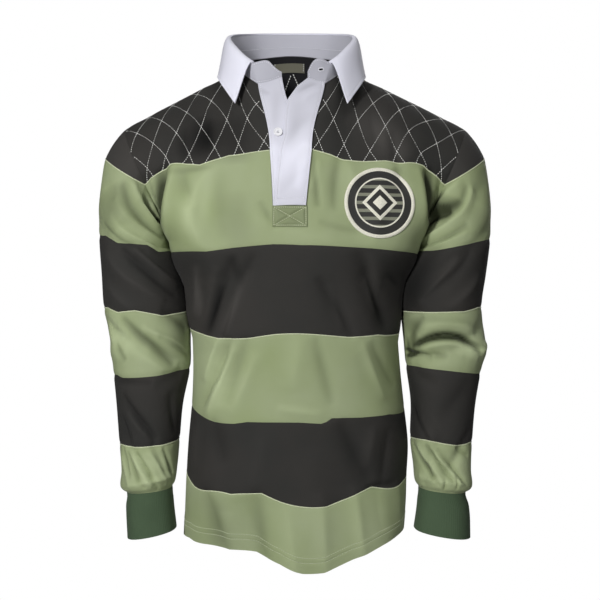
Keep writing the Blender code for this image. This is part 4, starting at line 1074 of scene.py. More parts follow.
def wearGroup():
    # slow light and dark clouds, with fine fibre over them
    group, entry, out = newGroup("clothTone", [("Place", "NodeSocketVector", None)],
                                 [("Cloud", "NodeSocketFloat"), ("Fibre", "NodeSocketFloat")])
    cloud = noise(group, entry.outputs["Place"], 9.0, 3.0, 0.55)
    fibre = noise(group, entry.outputs["Place"], 900.0, 2.0, 0.6)
    group.links.new(remap(group, cloud, 0.3, 0.7), out.inputs["Cloud"])
    group.links.new(remap(group, fibre, 0.25, 0.75), out.inputs["Fibre"])
    return group


groups = {"jersey": jerseyGroup(), "twill": twillGroup(), "tone": wearGroup()}


def useGroup(tree, name, **sockets):
    node = tree.nodes.new("ShaderNodeGroup")
    node.node_tree = groups[name]
    for label, value in sockets.items():
        put(tree, value, node.inputs[label])
    return node


def mixPaintedShading(tree, colour, deep, high):
    # above 0 paints shade towards the deep colour, below 0 paints a highlight towards the high colour
    tone = tree.nodes.new("ShaderNodeAttribute")
    tone.attribute_name = "paintedShadeAndHighlight"
    colour = mixColour(tree, remap(tree, tone.outputs["Fac"], 0.0, 1.0), colour, deep)
    return mixColour(tree, remap(tree, tone.outputs["Fac"], 0.0, -1.0), colour, high)


def placeTone(tree):
    place = tree.nodes.new("ShaderNodeTexCoord").outputs["Object"]
    return useGroup(tree, "tone", Place=place)


def uvMap(tree, name):
    node = tree.nodes.new("ShaderNodeUVMap")
    node.uv_map = name
    return node.outputs["UV"]


def jersey(name, dark, plain, light, sheen, roughness):
    material, tree, skin = newMaterial(name, roughness, sheen, specular=0.2)
    tone = placeTone(tree)
    knit = useGroup(tree, "jersey", Cloth=uvMap(tree, "cloth"))
    colour = mixColour(tree, tone.outputs["Cloud"], plain, light)
    # painted shade in the gaps between the knit's stitches
    shade = maths(tree, "MULTIPLY", knit.outputs["Gap"], weaving["gapPaintedShade"])
    colour = mixColour(tree, shade, colour, dark)
    shade = maths(tree, "MULTIPLY", tone.outputs["Fibre"], weaving["fibreShade"])
    colour = mixColour(tree, shade, colour, light)
    # painted shade in folds and painted highlight on ridges and caps
    colour = mixPaintedShading(tree, colour, [0.25 * c for c in dark], [1.5 * c + 0.01 for c in light])
    tree.links.new(colour, skin.inputs["Base Color"])
    height = maths(tree, "MULTIPLY_ADD", tone.outputs["Fibre"], 0.35, knit.outputs["Height"])
    bump(tree, height, skin, *weaving["knitBump"])
    return material


def twill(name, plain, shadow, roughness):
    material, tree, skin = newMaterial(name, roughness, 0.15)
    tone = placeTone(tree)
    weave = useGroup(tree, "twill", Cloth=uvMap(tree, "cloth"))
    shade = maths(tree, "MULTIPLY", tone.outputs["Cloud"], weaving["cloudShade"])
    colour = mixColour(tree, shade, plain, shadow)
    # painted shade in folds and painted highlight on ridges
    colour = mixPaintedShading(tree, colour, [0.35 * c for c in plain], [min(1.1 * c, 0.9) for c in plain])
    tree.links.new(colour, skin.inputs["Base Color"])
    height = maths(tree, "MULTIPLY_ADD", tone.outputs["Fibre"], 0.3, weave.outputs["Height"])
    bump(tree, height, skin, *weaving["twillBump"])
    return material


def thread(name, plain, shadow):
    material, tree, skin = newMaterial(name, 0.6, 0.3)
    tone = placeTone(tree)
    colour = mixColour(tree, tone.outputs["Fibre"], shadow, plain)
    tree.links.new(colour, skin.inputs["Base Color"])
    bump(tree, tone.outputs["Fibre"], skin, *weaving["threadBump"])
    return material


looks = {
    # the charcoal's lighter colour is warm: a painted brownish sheen in its clouds and painted
    # highlights
    "charcoal": jersey("charcoalJersey", (0.011, 0.011, 0.010), (0.026, 0.026, 0.024),
                       (0.036, 0.033, 0.030), 0.05, 0.75),
    "sage": jersey("sageJersey", (0.160, 0.195, 0.090), (0.290, 0.345, 0.172),
                   (0.345, 0.395, 0.235), 0.08, 0.62),
    "lining": jersey("blackLining", (0.004, 0.004, 0.005), (0.008, 0.008, 0.010),
                     (0.013, 0.013, 0.015), 0.05, 0.8),
    "rib": jersey("bottleGreenRib", (0.024, 0.040, 0.022), (0.058, 0.093, 0.050),
                  (0.074, 0.116, 0.064), 0.1, 0.8),
    "twill": twill("whiteTwill", (0.79, 0.79, 0.885), (0.68, 0.68, 0.79), 0.7),
    "label": twill("labelTape", (0.155, 0.15, 0.11), (0.11, 0.11, 0.08), 0.6),
    "quiltThread": thread("creamThread", (0.95, 0.95, 0.92), (0.78, 0.78, 0.74)),
    "sageThread": thread("paleSageThread", (0.66, 0.72, 0.50), (0.42, 0.47, 0.29)),
    # pale thread of the box stitching; on the seam beads the same pale colour is a painted highlight
    "boxThreadAndSeamHighlight": thread("paleThreadAndSeamHighlight", (0.68, 0.72, 0.50), (0.44, 0.49, 0.30)),
    "whiteThread": thread("whiteThread", (0.86, 0.86, 0.90), (0.62, 0.62, 0.68)),
}
print("stage: materials")


# making pieces
def register(piece, node):
    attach(piece, "root")
    if node:
        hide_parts(node)


def newPiece(name, verts, faces, material, uv=None, sharp=None):
    mesh = bpy.data.meshes.new(name)
    mesh.from_pydata(np.asarray(verts).tolist(), [], faces)
    mesh.materials.append(material)
    if uv is not None:
        layer = mesh.uv_layers.new(name="cloth")
        layer.data.foreach_set("uv", np.asarray(uv, np.float32).ravel())
    mesh.shade_smooth()
    if sharp:
        mesh.set_sharp_from_angle(angle=math.radians(sharp))
    piece = bpy.data.objects.new(name, mesh)
    bpy.context.collection.objects.link(piece)
    return piece


def runAlong(points, axis):
    # metres along the cloth from its first row (axis 0) or column (axis 1)
    run = np.cumsum(np.linalg.norm(np.diff(points, axis=axis), axis=-1), axis=axis)
    return np.insert(run, 0, 0, axis=axis)


def runDown(points):
    return runAlong(points, 0) / mm


def clothCoordinates(points, wrap):
    closed = np.concatenate([points, points[:, :1]], axis=1) if wrap else points
    u, v = runAlong(closed, 1), runAlong(closed, 0)
    return np.stack([u - u.mean(axis=1, keepdims=True) * (not wrap), -v], axis=-1)


# how far each edge steps back from its seam, and how deep and wide the cloth sinks into it
seamForm = {"pull": 0.06, "depth": 0.55, "width": 2.4, "armDepth": 1.1, "armWidth": 4.0,
            "capShare": 0.9}


def shell(name, points, normals, thickness, material, cells=None, wrap=False, raised=None,
          sharp=50, lining=None, tone=None):
    # a closed thin wall: the outer skin, the inner skin and the rim between them
    rows, cols = points.shape[:2]
    shape = (rows - 1, cols if wrap else cols - 1)
    cells = np.ones(shape, bool) if cells is None else cells
    i, j = np.nonzero(cells)
    k = (j + 1) % cols
    quads = np.stack([i * cols + j, i * cols + k, (i + 1) * cols + k, (i + 1) * cols + j], axis=1)
    flatPoints, flatNormals = points.reshape(-1, 3), normals.reshape(-1, 3)
    a, b, c, d = flatPoints[quads[len(quads) // 2]]
    outwards = np.dot(np.cross(c - a, d - b), flatNormals[quads[len(quads) // 2][0]]) > 0
    used = np.zeros(rows * cols, bool)
    used[quads.ravel()] = True
    index = np.cumsum(used) - 1
    edges = np.concatenate([quads[:, [n, (n + 1) % 4]] for n in range(4)])
    key = np.sort(edges, axis=1) @ np.array([rows * cols, 1])
    first, times = np.unique(key, return_index=True, return_counts=True)[1:]
    rim = edges[first[times == 1]]
    # edges step back a little from the seam
    along = unit(flatPoints[rim[:, 1]] - flatPoints[rim[:, 0]])
    moved = np.zeros_like(flatPoints)
    for end in (0, 1):
        inward = np.cross(flatNormals[rim[:, end]], along) * (1 if outwards else -1)
        np.add.at(moved, rim[:, end], unit(inward))
    reach = np.full(rows * cols, 1.0)
    size = np.linalg.norm(flatPoints[edges[:, 0]] - flatPoints[edges[:, 1]], axis=1)
    for end in (0, 1):
        np.minimum.at(reach, edges[:, end], size)
    pull = np.minimum(seamForm["pull"] * mm, 0.25 * reach)[:, None]
    moved = unit(moved) * pull * (np.linalg.norm(moved, axis=1, keepdims=True) > 0.5)
    outer = flatPoints + moved
    inner = outer - flatNormals * thickness
    if raised is not None:
        outer = outer + flatNormals * raised.reshape(-1, 1)
    verts = np.concatenate([outer[used], inner[used]])
    shift = int(used.sum())
    face = index[quads] if outwards else index[quads][:, ::-1]
    rimFace = np.stack([index[rim[:, 1]], index[rim[:, 0]], index[rim[:, 0]] + shift,
                        index[rim[:, 1]] + shift], axis=1)
    rimFace = rimFace if outwards else rimFace[:, ::-1]
    faces = np.concatenate([face, face[:, ::-1] + shift, rimFace])
    # cloth coordinates of each corner
    where = clothCoordinates(points, wrap)
    corners = np.stack([where[i, j], where[i, j + 1], where[i + 1, j + 1], where[i + 1, j]], axis=1)
    corners = corners if outwards else corners[:, ::-1]
    flatWhere = where[:, :cols].reshape(-1, 2)
    rimWhere = np.stack([flatWhere[rim[:, n]] for n in (1, 0, 0, 1)], axis=1)
    rimWhere = rimWhere if outwards else rimWhere[:, ::-1]
    uv = np.concatenate([corners, corners[:, ::-1], rimWhere])
    piece = newPiece(name, verts, faces.tolist(), material, uv.reshape(-1, 2), sharp)
    # per point painted shade (above 0) and painted highlight (below 0) for the cloth's colour
    tone = np.zeros(rows * cols) if tone is None else np.broadcast_to(tone, (rows, cols)).ravel()
    field = piece.data.attributes.new("paintedShadeAndHighlight", "FLOAT", "POINT")
    field.data.foreach_set("value", np.tile(tone[used], 2).astype(np.float32))
    if lining:
        piece.data.materials.append(lining)
        inside = np.zeros(len(faces), np.int32)
        inside[len(face):2 * len(face)] = 1
        piece.data.polygons.foreach_set("material_index", inside)
    return piece


def seamDip(points, rows, depth=seamForm["depth"], width=seamForm["width"]):
    # cloth sinks a little into each seam
    run = runDown(points)
    total = np.zeros(run.shape)
    for row in rows:
        total -= depth * np.exp(-((run - run[row]) / width) ** 2)
    return total * mm


def onGrid(points, normals, i, j):
    # places and normals between rows and columns
    i = np.clip(np.asarray(i, float), 0, points.shape[0] - 1.001)
    j = np.clip(np.asarray(j, float), 0, points.shape[1] - 1.001)
    row, col = i.astype(int), j.astype(int)
    a, b = (i - row)[:, None], (j - col)[:, None]
    found = []
    for field in (points, normals):
        found.append(field[row, col] * (1 - a) * (1 - b) + field[row, col + 1] * (1 - a) * b
                     + field[row + 1, col] * a * (1 - b) + field[row + 1, col + 1] * a * b)
    return found[0], unit(found[1])


def resample(points, normals, step):
    run = runAlong(points, 0)
    if run[-1] <= 0:
        return points[:0], normals[:0]
    at = np.arange(0.0, run[-1], step)
    place, out = (np.stack([np.interp(at, run, field[:, n]) for n in range(3)], axis=1)
                  for field in (points, normals))
    return place, unit(out)


stitchLift = 0.1     # above the cloth, in mm


def stitches(name, paths, material, slotName, length, gap, width, height):
    # rows of separate stitches, each a small pillow of thread; paths are (points, normals)
    verts, faces = [], []
    ring = ((-1, 0), (0, 1), (1, 0), (0, -0.6))
    middle = [(t, x, y) for t in (0.22, 0.78) for x, y in ring]
    template = np.array([(0.0, 0, -0.3), *middle, (1.0, 0, -0.3)])
    quads = [(1 + n, 1 + (n + 1) % 4, 5 + (n + 1) % 4, 5 + n) for n in range(4)]
    caps = [(0, 1 + (n + 1) % 4, 1 + n) for n in range(4)] + \
           [(9, 5 + n, 5 + (n + 1) % 4) for n in range(4)]
    for points, normals in paths:
        place, out = resample(points, normals, (length + gap) * mm)
        if len(place) < 2:
            continue
        step = place[1:] - place[:-1]
        size = np.linalg.norm(step, axis=1, keepdims=True)
        keep = (size > 0.6 * (length + gap) * mm)[:, 0]
        start, step, size, out = place[:-1][keep], step[keep], size[keep], out[:-1][keep]
        along = step / size
        side = unit(np.cross(along, out))
        body = start + out * stitchLift * mm
        made = (body[:, None] + along[:, None] * (template[:, 0] * length * mm)[None, :, None]
                + side[:, None] * (template[:, 1] * width * mm)[None, :, None]
                + out[:, None] * (template[:, 2] * height * mm)[None, :, None])
        first = sum(len(v) for v in verts)
        verts.append(made.reshape(-1, 3))
        for n in range(len(made)):
            base = first + 10 * n
            faces += [tuple(base + q for q in quad) for quad in quads + caps]
    register(newPiece(name, np.concatenate(verts), faces, material), None)


def tubes(name, paths, material, radius, sides=6, flat=0.7, lift=0.2, closed=False):
    # a bead along each path; closed paths join up with themselves
    verts, faces = [], []
    for points, normals in paths:
        count = len(points)
        if closed:
            along = unit(np.roll(points, -1, axis=0) - np.roll(points, 1, axis=0))
        else:
            along = unit(np.gradient(points, axis=0))
        side = unit(np.cross(along, normals))
        turn = np.linspace(0, 2 * math.pi, sides, endpoint=False)
        centre = points + normals * lift * mm
        rings = (centre[:, None] + side[:, None] * (np.cos(turn) * radius * mm)[None, :, None]
                 + normals[:, None] * (np.sin(turn) * radius * flat * mm)[None, :, None])
        first = sum(len(v) for v in verts)
        verts.append(rings.reshape(-1, 3))
        for i in range(count if closed else count - 1):
            a, b = first + i * sides, first + (i + 1) % count * sides
            faces += [(a + n, b + n, b + (n + 1) % sides, a + (n + 1) % sides)
                      for n in range(sides)]
        if not closed:
            faces.append(tuple(first + n for n in range(sides)))
            faces.append(tuple(first + (count - 1) * sides + n for n in range(sides))[::-1])
    register(newPiece(name, np.concatenate(verts), faces, material), None)


def makeActive(piece):
    bpy.ops.object.select_all(action="DESELECT")
    piece.select_set(True)
    bpy.context.view_layer.objects.active = piece


def applyChange(piece, kind, **settings):
    makeActive(piece)
    change = piece.modifiers.new("change", kind)
    for name, value in settings.items():
        setattr(change, name, value)
    bpy.ops.object.modifier_apply(modifier="change")


def cutAway(piece, cutter):
    applyChange(piece, "BOOLEAN", operation="DIFFERENCE", object=cutter, solver="EXACT")
    bpy.data.objects.remove(cutter)


# body panels
wall = {"jersey": 1.4, "rib": 2.2, "twill": 1.8, "label": 0.8, "patch": 1.1}    # thickness
# turn and lines are heights above the edge
hem = {"turn": 24, "lines": (22, 15), "swell": 0.45, "dent": 0.4, "dentWidth": 1.3}
yokeEnd, footRow = levelRow(1.0), levelRow(slot["foot"])
capColumns = [j % len(ringDegrees) for j in range(-yokeEnd, yokeEnd + 1)]
leftStart = fine["front"] + fine["slot"]       # first column on the left of the slot
bandCloth = {1: "sage", 2: "charcoal", 3: "sage", 4: "charcoal", 5: "sage"}
slots = {"sage": ("sage_jersey", "jersey"), "charcoal": ("charcoal_jersey", "jersey"),
         "rib": ("bottle_green_rib", "rib"), "twill": ("white_twill", "twill"),
         "label": ("label_grey", "label")}


def makePanel(node, points, normals, cloth, **more):
    slotName, kind = slots[cloth]
    piece = shell(node + "_cloth", points, normals, wall[kind] * mm, looks[cloth], **more)
    register(piece, node)
    return piece


def quiltRise(levels, columns, first):
    v = quilt["rows"] * (1 - levels)[:, None] - quilt["shift"]
    u = columns[None, :] - quilt["shift"] * first
    size = quilt["diamond"]
    a, b = np.mod(u + v, size) / size, np.mod(u - v, size) / size
    pillow = np.abs(np.sin(np.pi * a) * np.sin(np.pi * b)) ** 0.6
    edge = np.minimum(v + quilt["shift"], quilt["rows"] - quilt["shift"] - v)
    side = ramp(columns[-1] - columns, quilt["soft"])
    if first:
        side = side * ramp(columns, quilt["soft"])
    return pillow * ramp(edge, quilt["soft"]) * side[None, :] * quilt["rise"] * mm


def fromHem(points):
    run = runDown(points)
    return run[-1] - run


def sewnBody(back):
    points, normals = grids[back]
    dip = seamDip(points, [levelRow(n) for n in range(1, 6)])
    dip = dip + seamDip(points.swapaxes(0, 1), [0, -1]).swapaxes(0, 1)
    height = fromHem(points)
    dip = dip + hem["swell"] * mm * ramp(hem["turn"] + 1 - height, 2)
    for line in hem["lines"]:
        dip = dip - hem["dent"] * mm * np.exp(-((height - line) / hem["dentWidth"]) ** 2)
    return points + normals * dip[..., None], normals


cloths = {back: sewnBody(back) for back in (False, True)}


def makeBody():
    yoke = slice(0, yokeEnd + 1)
    levels = bodyLevels[yoke]
    points, normals = cloths[False]
    columns = np.arange(fine["front"] + 1) * (quilt["front"] / fine["front"])
    rise = quiltRise(levels, columns, True)
    for node, cols, rise in (("front_yoke_left", slice(leftStart, None), rise),
                             ("front_yoke_right", slice(0, fine["front"] + 1), rise[:, ::-1])):
        makePanel(node, points[yoke, cols], normals[yoke, cols], "charcoal", raised=rise,
                  lining=looks["lining"], tone=paintedShadingGrids["front"][yoke, cols])
    columns = np.arange(fine["back"] + 1) * quilt["back"] / fine["back"]
    rise = quiltRise(levels, columns, False)
    points, normals = cloths[True]
    makePanel("back_yoke", points[yoke], normals[yoke], "charcoal",
              raised=np.concatenate([rise[:, :0:-1], rise], axis=1), lining=looks["lining"])
    for back, part in ((False, "front"), (True, "back")):
        points, normals = cloths[back]
        for band in range(1, 6):
            rows = slice(levelRow(band), levelRow(band + 1) + 1)
            cells = np.ones((rows.stop - rows.start - 1, points.shape[1] - 1), bool)
            if band == 1 and not back:
                cells[:footRow - yokeEnd, fine["front"]:leftStart] = False
            makePanel(f"{part}_band_{band}", points[rows], normals[rows], bandCloth[band],
                      cells=cells, tone=paintedShadingGrids[part][rows])


makeBody()
print("stage: body panels")

# sleeves
cuff = {"ribs": 80, "perRib": 5, "rise": 0.3, "rows": 18, "wave": 1.4, "firstDip": 0.55,
        "dipWidth": 2.2}
armRings = {}


def ringRow(level):
    return int(np.argmin(np.abs(sleeveLevels - level)))


def makeSleeve(side):
    name = "left" if side > 0 else "right"
    arm = arms[side]
    points, normals = arm["points"], arm["normals"]
    rows = [ringRow(n) for n in (2, 3, 4, 5, 6)]
    dip = seamDip(points, rows, seamForm["armDepth"], seamForm["armWidth"]) + seamDip(points, [0])
    points = points + normals * dip[..., None]
    cap = arm["cap"]
    cap = cap + arm["capNormals"] * (seamDip(cap, [0, -1]) * seamForm["capShare"])[..., None]
    armRings[side] = {"points": points, "normals": normals, "cap": cap,
                      "capNormals": arm["capNormals"]}
    # the caps painted lighter all over: a painted highlight for the sheen on the shoulders
    makePanel(f"sleeve_{name}_cap", cap[:, capColumns], arm["capNormals"][:, capColumns],
              "charcoal", tone=paintedShadeAndHighlight["cap"])
    for band in range(1, 6):
        rows = slice(ringRow(band), ringRow(band + 1) + 1)
        makePanel(f"sleeve_{name}_band_{band}", points[rows], normals[rows], bandCloth[band],
                  wrap=True, tone=paintedShadingGrids[name][rows])
    degrees = np.linspace(0, 360, cuff["ribs"] * cuff["perRib"] + 1)[:-1]
    rings = np.array([roundRing(row, side, degrees) for row in sleeveRings])
    share = np.concatenate([[0, 0.015, 0.035, 0.06], np.linspace(0.1, 0.96, cuff["rows"] - 5),
                            [0.985, 1.0]])
    knit = through(column(sleeveRings, ringNames, "ring"), rings, 6 + share)
    out = gridNormals(knit, knit - knit.mean(axis=1, keepdims=True), wrap=True)
    rib = (0.5 + 0.5 * np.cos(np.radians(degrees) * cuff["ribs"])) ** 0.7
    fade = ramp(share, 0.05)[:, None]
    slack = (np.sin(np.radians(degrees) * 3 + side) + np.sin(np.radians(degrees) * 5 + 2.1)) / 2
    knit = knit + out * (slack * cuff["wave"] * mm * np.sin(share[:, None] * 2.2) * fade)[..., None]
    knit = knit + out * seamDip(knit, [0], cuff["firstDip"], cuff["dipWidth"])[..., None]
    makePanel(f"sleeve_{name}_cuff", knit, out, "rib", wrap=True,
              raised=rib * fade * cuff["rise"] * mm, sharp=60)


for side in (1, -1):
    makeSleeve(side)
print("stage: sleeves")

# seams and stitching on the body and sleeves
sewing = {     # length, gap, width and height of a stitch
    "quilt": (2.8, 0.7, 0.52, 0.5),
    "inside": (3.4, 0.7, 0.9, 0.6),
    "hem": (2.8, 0.7, 0.5, 0.42),
    "box": (2.4, 0.6, 0.6, 0.5),
    "white": (2.4, 0.7, 0.42, 0.36),
}


def sew(name, paths, thread, slotName, kind):
    stitches(name, paths, looks[thread], slotName, *sewing[kind])


def sewWhite(name, paths):
    sew(name, paths, "whiteThread", "white_twill", "white")


def alongRow(points, normals, row, cols=slice(None)):
    return points[row, cols], normals[row, cols]


def makeSeamEdges():
    # beads along the seams where sage cloth starts below charcoal: a real raised edge whose pale
    # colour is a painted highlight of light on that edge
    points, normals = cloths[False]
    rear, rearNormals = cloths[True]
    paths = [alongRow(points, normals, yokeEnd, slice(0, fine["front"] + 1)),
             alongRow(points, normals, yokeEnd, slice(leftStart, None)),
             alongRow(rear, rearNormals, yokeEnd)]
    for side in (1, -1):
        paths.append((armRings[side]["cap"][-1, capColumns],
                      armRings[side]["capNormals"][-1, capColumns]))
    tubes("yoke_seam_edge", paths, looks["boxThreadAndSeamHighlight"], radius=0.85)
    rings = []
    for level in (3, 5):
        row = levelRow(level)
        rings.append(tuple(np.concatenate([front[row], back[row][-2:0:-1]])
                           for front, back in ((points, rear), (normals, rearNormals))))
        for side in (1, -1):
            row = ringRow(level)
            rings.append((armRings[side]["points"][row], armRings[side]["normals"][row]))
    tubes("band_seam_edge", rings, looks["boxThreadAndSeamHighlight"], radius=0.85, closed=True)


def quiltPaths(back, side, inner=False):
    points, normals = cloths[back]
    count, cells = (quilt["back"], fine["back"]) if back else (quilt["front"], fine["front"])
    middle = fine["back"] if back else (leftStart if side > 0 else fine["front"])
    shift, size, rows = quilt["shift"], quilt["diamond"], quilt["rows"]
    begin = 0 if back else shift
    paths = []
    for slope in (1, -1):
        for k in range(-4, 12):
            t = np.linspace(-shift, rows - shift, 90)
            u = size * k + slope * (t - quilt["liningLift"] * inner)
            u = u + quilt["wander"] * np.sin(0.85 * t + 2.3 * k + slope + (0 if back else side))
            keep = (u > -begin) & (u < count - begin - 0.05)
            if inner:
                keep &= (t > quilt["liningFrom"]) & (t < quilt["liningTo"])
            if keep.sum() < 4:
                continue
            t, u = t[keep], u[keep]
            i = np.interp(1 - (t + shift) / rows, bodyLevels, np.arange(len(bodyLevels)))
            j = middle + side * (u + begin) * cells / count
            place, out = onGrid(points, normals, i, j)
            if inner:
                place, out = place - out * wall["jersey"] * mm, -out
            paths.append((place, out))
    return paths


def atPlace(points, normals, x, z):
    # row and column where the cloth passes x and z: a rough place, then exact steps
    row, col = 60, 75
    for _ in range(6):
        col = int(round(np.interp(x.mean() * mm, points[row, :, 0], np.arange(points.shape[1]))))
        row = int(round(np.interp(-z.mean() * mm, -points[:, col, 2], np.arange(points.shape[0]))))
    i, j = np.full(len(x), float(row)), np.full(len(x), float(col))
    for _ in range(10):
        here = onGrid(points, normals, i, j)[0]
        down = (onGrid(points, normals, i + 0.5, j)[0] - here) * 2
        across = (onGrid(points, normals, i, j + 0.5)[0] - here) * 2
        offX, offZ = x * mm - here[:, 0], z * mm - here[:, 2]
        area = across[:, 0] * down[:, 2] - across[:, 2] * down[:, 0]
        j = j + 0.8 * (offX * down[:, 2] - offZ * down[:, 0]) / area
        i = i + 0.8 * (across[:, 0] * offZ - across[:, 2] * offX) / area
    return i, j


def onFront(x, z):
    # places and normals of the front at each x and z
    found = onGrid(*cloths[False], *atPlace(*cloths[False], x.ravel(), z.ravel()))
    return [field.reshape(*x.shape, 3) for field in found]


def makeStitching():
    paths = []
    for side in (1, -1):
        paths += quiltPaths(False, side) + quiltPaths(True, side)
    sew("quilt_stitching", paths, "quiltThread", "charcoal_jersey", "quilt")
    paths = quiltPaths(True, 1, True) + quiltPaths(True, -1, True)
    sew("lining_stitching", paths, "quiltThread", "charcoal_jersey", "inside")
    paths = []
    for back in (False, True):
        points, normals = cloths[back]
        height = fromHem(points)
        rows, cols = np.arange(points.shape[0]), np.arange(points.shape[1])
        for line in hem["lines"]:
            i = np.array([np.interp(line, height[::-1, j], rows[::-1]) for j in cols])
            paths.append(onGrid(points, normals, i, cols))
    sew("hem_stitching", paths, "sageThread", "sage_jersey", "hem")


# a doubled square of cloth below the placket, sewn down round its edge and crosswise
# tone darkens the whole square with the painted shade mix
box = {"right": -31, "left": 18, "top": -202, "foot": -232, "across": 62, "down": 40, "lift": 0.3,
       "thick": 0.7, "puff": 1.7, "inset": 2.4, "dent": 2.3, "edge": 1.2, "tone": 0.3}


def makeBox():
    a, b = np.meshgrid(np.linspace(0, 1, box["across"]), np.linspace(0, 1, box["down"]))
    wide, tall, inset = box["left"] - box["right"], box["top"] - box["foot"], box["inset"]
    place, out = onFront(box["right"] + wide * a, box["top"] - tall * b)
    fromEdge = np.minimum(np.minimum(a, 1 - a) * wide, np.minimum(b, 1 - b) * tall)
    slant = np.hypot(wide, tall) / (wide * tall)
    cross = np.minimum(np.abs(a - b), np.abs(a + b - 1)) / slant
    near = np.minimum(np.abs(fromEdge - inset), np.where(fromEdge > inset, cross, 99))
    puff = box["puff"] * (1 - np.exp(-(near / box["dent"]) ** 2))
    puff = puff * smooth(fromEdge, 0, box["edge"])
    face = place + out * (box["lift"] + box["thick"]) * mm
    # darkened all over with the painted shade mix
    piece = shell("placket_box_cloth", face, out, box["thick"] * mm, looks["sage"],
                  raised=puff * mm, tone=box["tone"])
    register(piece, None)
    left, top = inset / wide * (box["across"] - 1), inset / tall * (box["down"] - 1)
    right, foot = box["across"] - 1 - left, box["down"] - 1 - top
    corners = [(left, top), (right, top), (right, foot), (left, foot)]
    ends = [*zip(corners, corners[1:] + corners[:1]), corners[::2], corners[1::2]]
    t = np.linspace(0, 1, 30)
    lines = [onGrid(face + out * 0.05 * mm, out, m[1] + (n[1] - m[1]) * t, m[0] + (n[0] - m[0]) * t)
             for m, n in ends]
    sew("box_stitching", lines, "boxThreadAndSeamHighlight", "sage_jersey", "box")


makeSeamEdges()
makeStitching()
makeBox()
print("stage: seams and stitching")

# collar
collarNames = ("at", "foldX", "foldY", "foldZ", "leafX", "leafY", "leafZ")
collarEdge = (
    (-0.25, -60, 74, 83, -74, 98, 36),
    (0.00, 0, 91, 88, 0, 118, 42),
    (0.25, 60, 74, 83, 74, 98, 36),
    (0.50, 93, 12, 63, 107, 12, 6),
    (0.70, 82, -34, 36, 104, -38, -14),
    (0.88, 55, -62, 8, 80, -74, -53),
    (1.00, 24, -67, -5, 80, -74, -53),
)
tabTops = {     # upper edge of the stand's two free ends, from the leaf to the end
    1: ((50, -62, 8), (43, -65.5, 11.5), (36.5, -68, 13), (31.5, -69, 12.5), (27, -69.5, 9.5),
        (22.5, -69.5, 3), (18.5, -68.5, -6)),
    -1: ((-60, -62, 8), (-50, -66, 9.5), (-41, -69, 10.2), (-36, -69.5, 8), (-31, -69.5, 2.5),
         (-24.5, -69, -3), (-18.6, -68.5, -6.5)),
}
tabStations = (0, 0.2, 0.4, 0.55, 0.7, 0.85, 1)
collar = {"leafEnd": 0.88, "tabEnd": {1: (23.5, -66, -15), -1: (13.5, -66, -12.5)}, "tabSag": 2,
          "roll": 30, "rise": 17, "gap": 0.35, "standColumns": 150, "standRows": 18,
          "leafColumns": 110, "leafRows": 46, "edgeStitch": 4.5, "standStitch": 2.5,
          "puff": 0.45, "tape": 0.42, "tapeFrom": 26, "tapeThick": 0.7, "tapeStitch": 2.2,
          "tapeGap": 0.8, "foldFrom": 18, "foldRadius": 1.5, "foldLift": 0.2, "forward": 4,
          "arrive": 1.1, "standPaintedShade": 0.66}
buttonhole = {"x": 37.5, "z": -2.6, "length": 7.2, "width": 3.8, "turn": 10, "satin": 0.6,
              "from": -95, "to": -45}


def neckRing(side, at):
    half = collar["leafEnd"] / 2
    places = []
    for t in at:
        if t <= half:
            place = topEdge(True, side, np.array([backNeck * t / half]))[0][0]
        elif t <= collar["leafEnd"]:
            place = topEdge(False, side, np.array([frontNeck * (2 - t / half)]))[0][0]
        else:
            start = topEdge(False, side, np.array([0.0]))[0][0]
            x, y, z = collar["tabEnd"][side]
            end = np.array([side * x + bodyForm["neckOffset"], y, z]) * mm
            share = (t - collar["leafEnd"]) / (1 - collar["leafEnd"])
            sag = np.array([0, 0, -collar["tabSag"]]) * mm * math.sin(math.pi * share)
            place = start + (end - start) * share + sag
        places.append(place)
    return np.array(places)


def collarCurve(side, at, *wanted):
    curve = through(column(collarEdge, collarNames, "at"),
                    column(collarEdge, collarNames, *wanted), at)
    curve = curve * np.array([side, 1, 1])
    curve[:, 0] += bodyForm["neckOffset"]
    return curve * mm


plies = {"dent": 1.3, "edge": 1.5}      # how wide a line of stitches and an edge pull in


def stitchedRise(distances, inset, puff):
    # two plies swell on both sides of a line of stitches
    total = np.full(distances[0].shape, puff * mm)
    for distance in distances:
        dent = np.exp(-((distance - inset) / plies["dent"]) ** 2)
        total = np.minimum(total, puff * mm * (1 - dent))
        total = np.minimum(total, puff * mm * np.sqrt(ramp(distance, plies["edge"])))
    return total


def edgeDistances(points):
    down, across = runAlong(points, 0) / mm, runAlong(points, 1) / mm
    return {"top": down, "foot": down[-1] - down, "first": across,
            "last": across[:, -1:] - across}


def insetPath(points, normals, inset, sides):
    # a path that keeps its distance from the free edges
    distance = edgeDistances(points)
    down, across = np.arange(points.shape[0]), np.arange(points.shape[1])
    top = np.array([np.interp(inset, run, down) for run in distance["top"].T])
    foot = np.array([np.interp(-inset, -run, down) for run in distance["foot"].T])
    first = np.array([np.interp(inset, run, across) for run in distance["first"]])
    last = np.array([np.interp(-inset, -run, across) for run in distance["last"]])
    lines = {"top": (top, across), "foot": (foot, across), "first": (down, first),
             "last": (down, last)}
    paths = []
    for side in sides:
        i, j = (np.asarray(v, float) for v in lines[side])
        if side in ("top", "foot"):
            at, place, low, high, ends = i.astype(int), j, first, last, ("first", "last")
        else:
            at, place, low, high, ends = j.astype(int), i, top, foot, ("top", "foot")
        at = np.clip(at, 0, len(low) - 1)
        keep = np.ones(len(at), bool)
        if ends[0] in sides:
            keep &= place >= low[at]
        if ends[1] in sides:
            keep &= place <= high[at]
        paths.append(onGrid(points, normals, i[keep], j[keep]))
    return paths


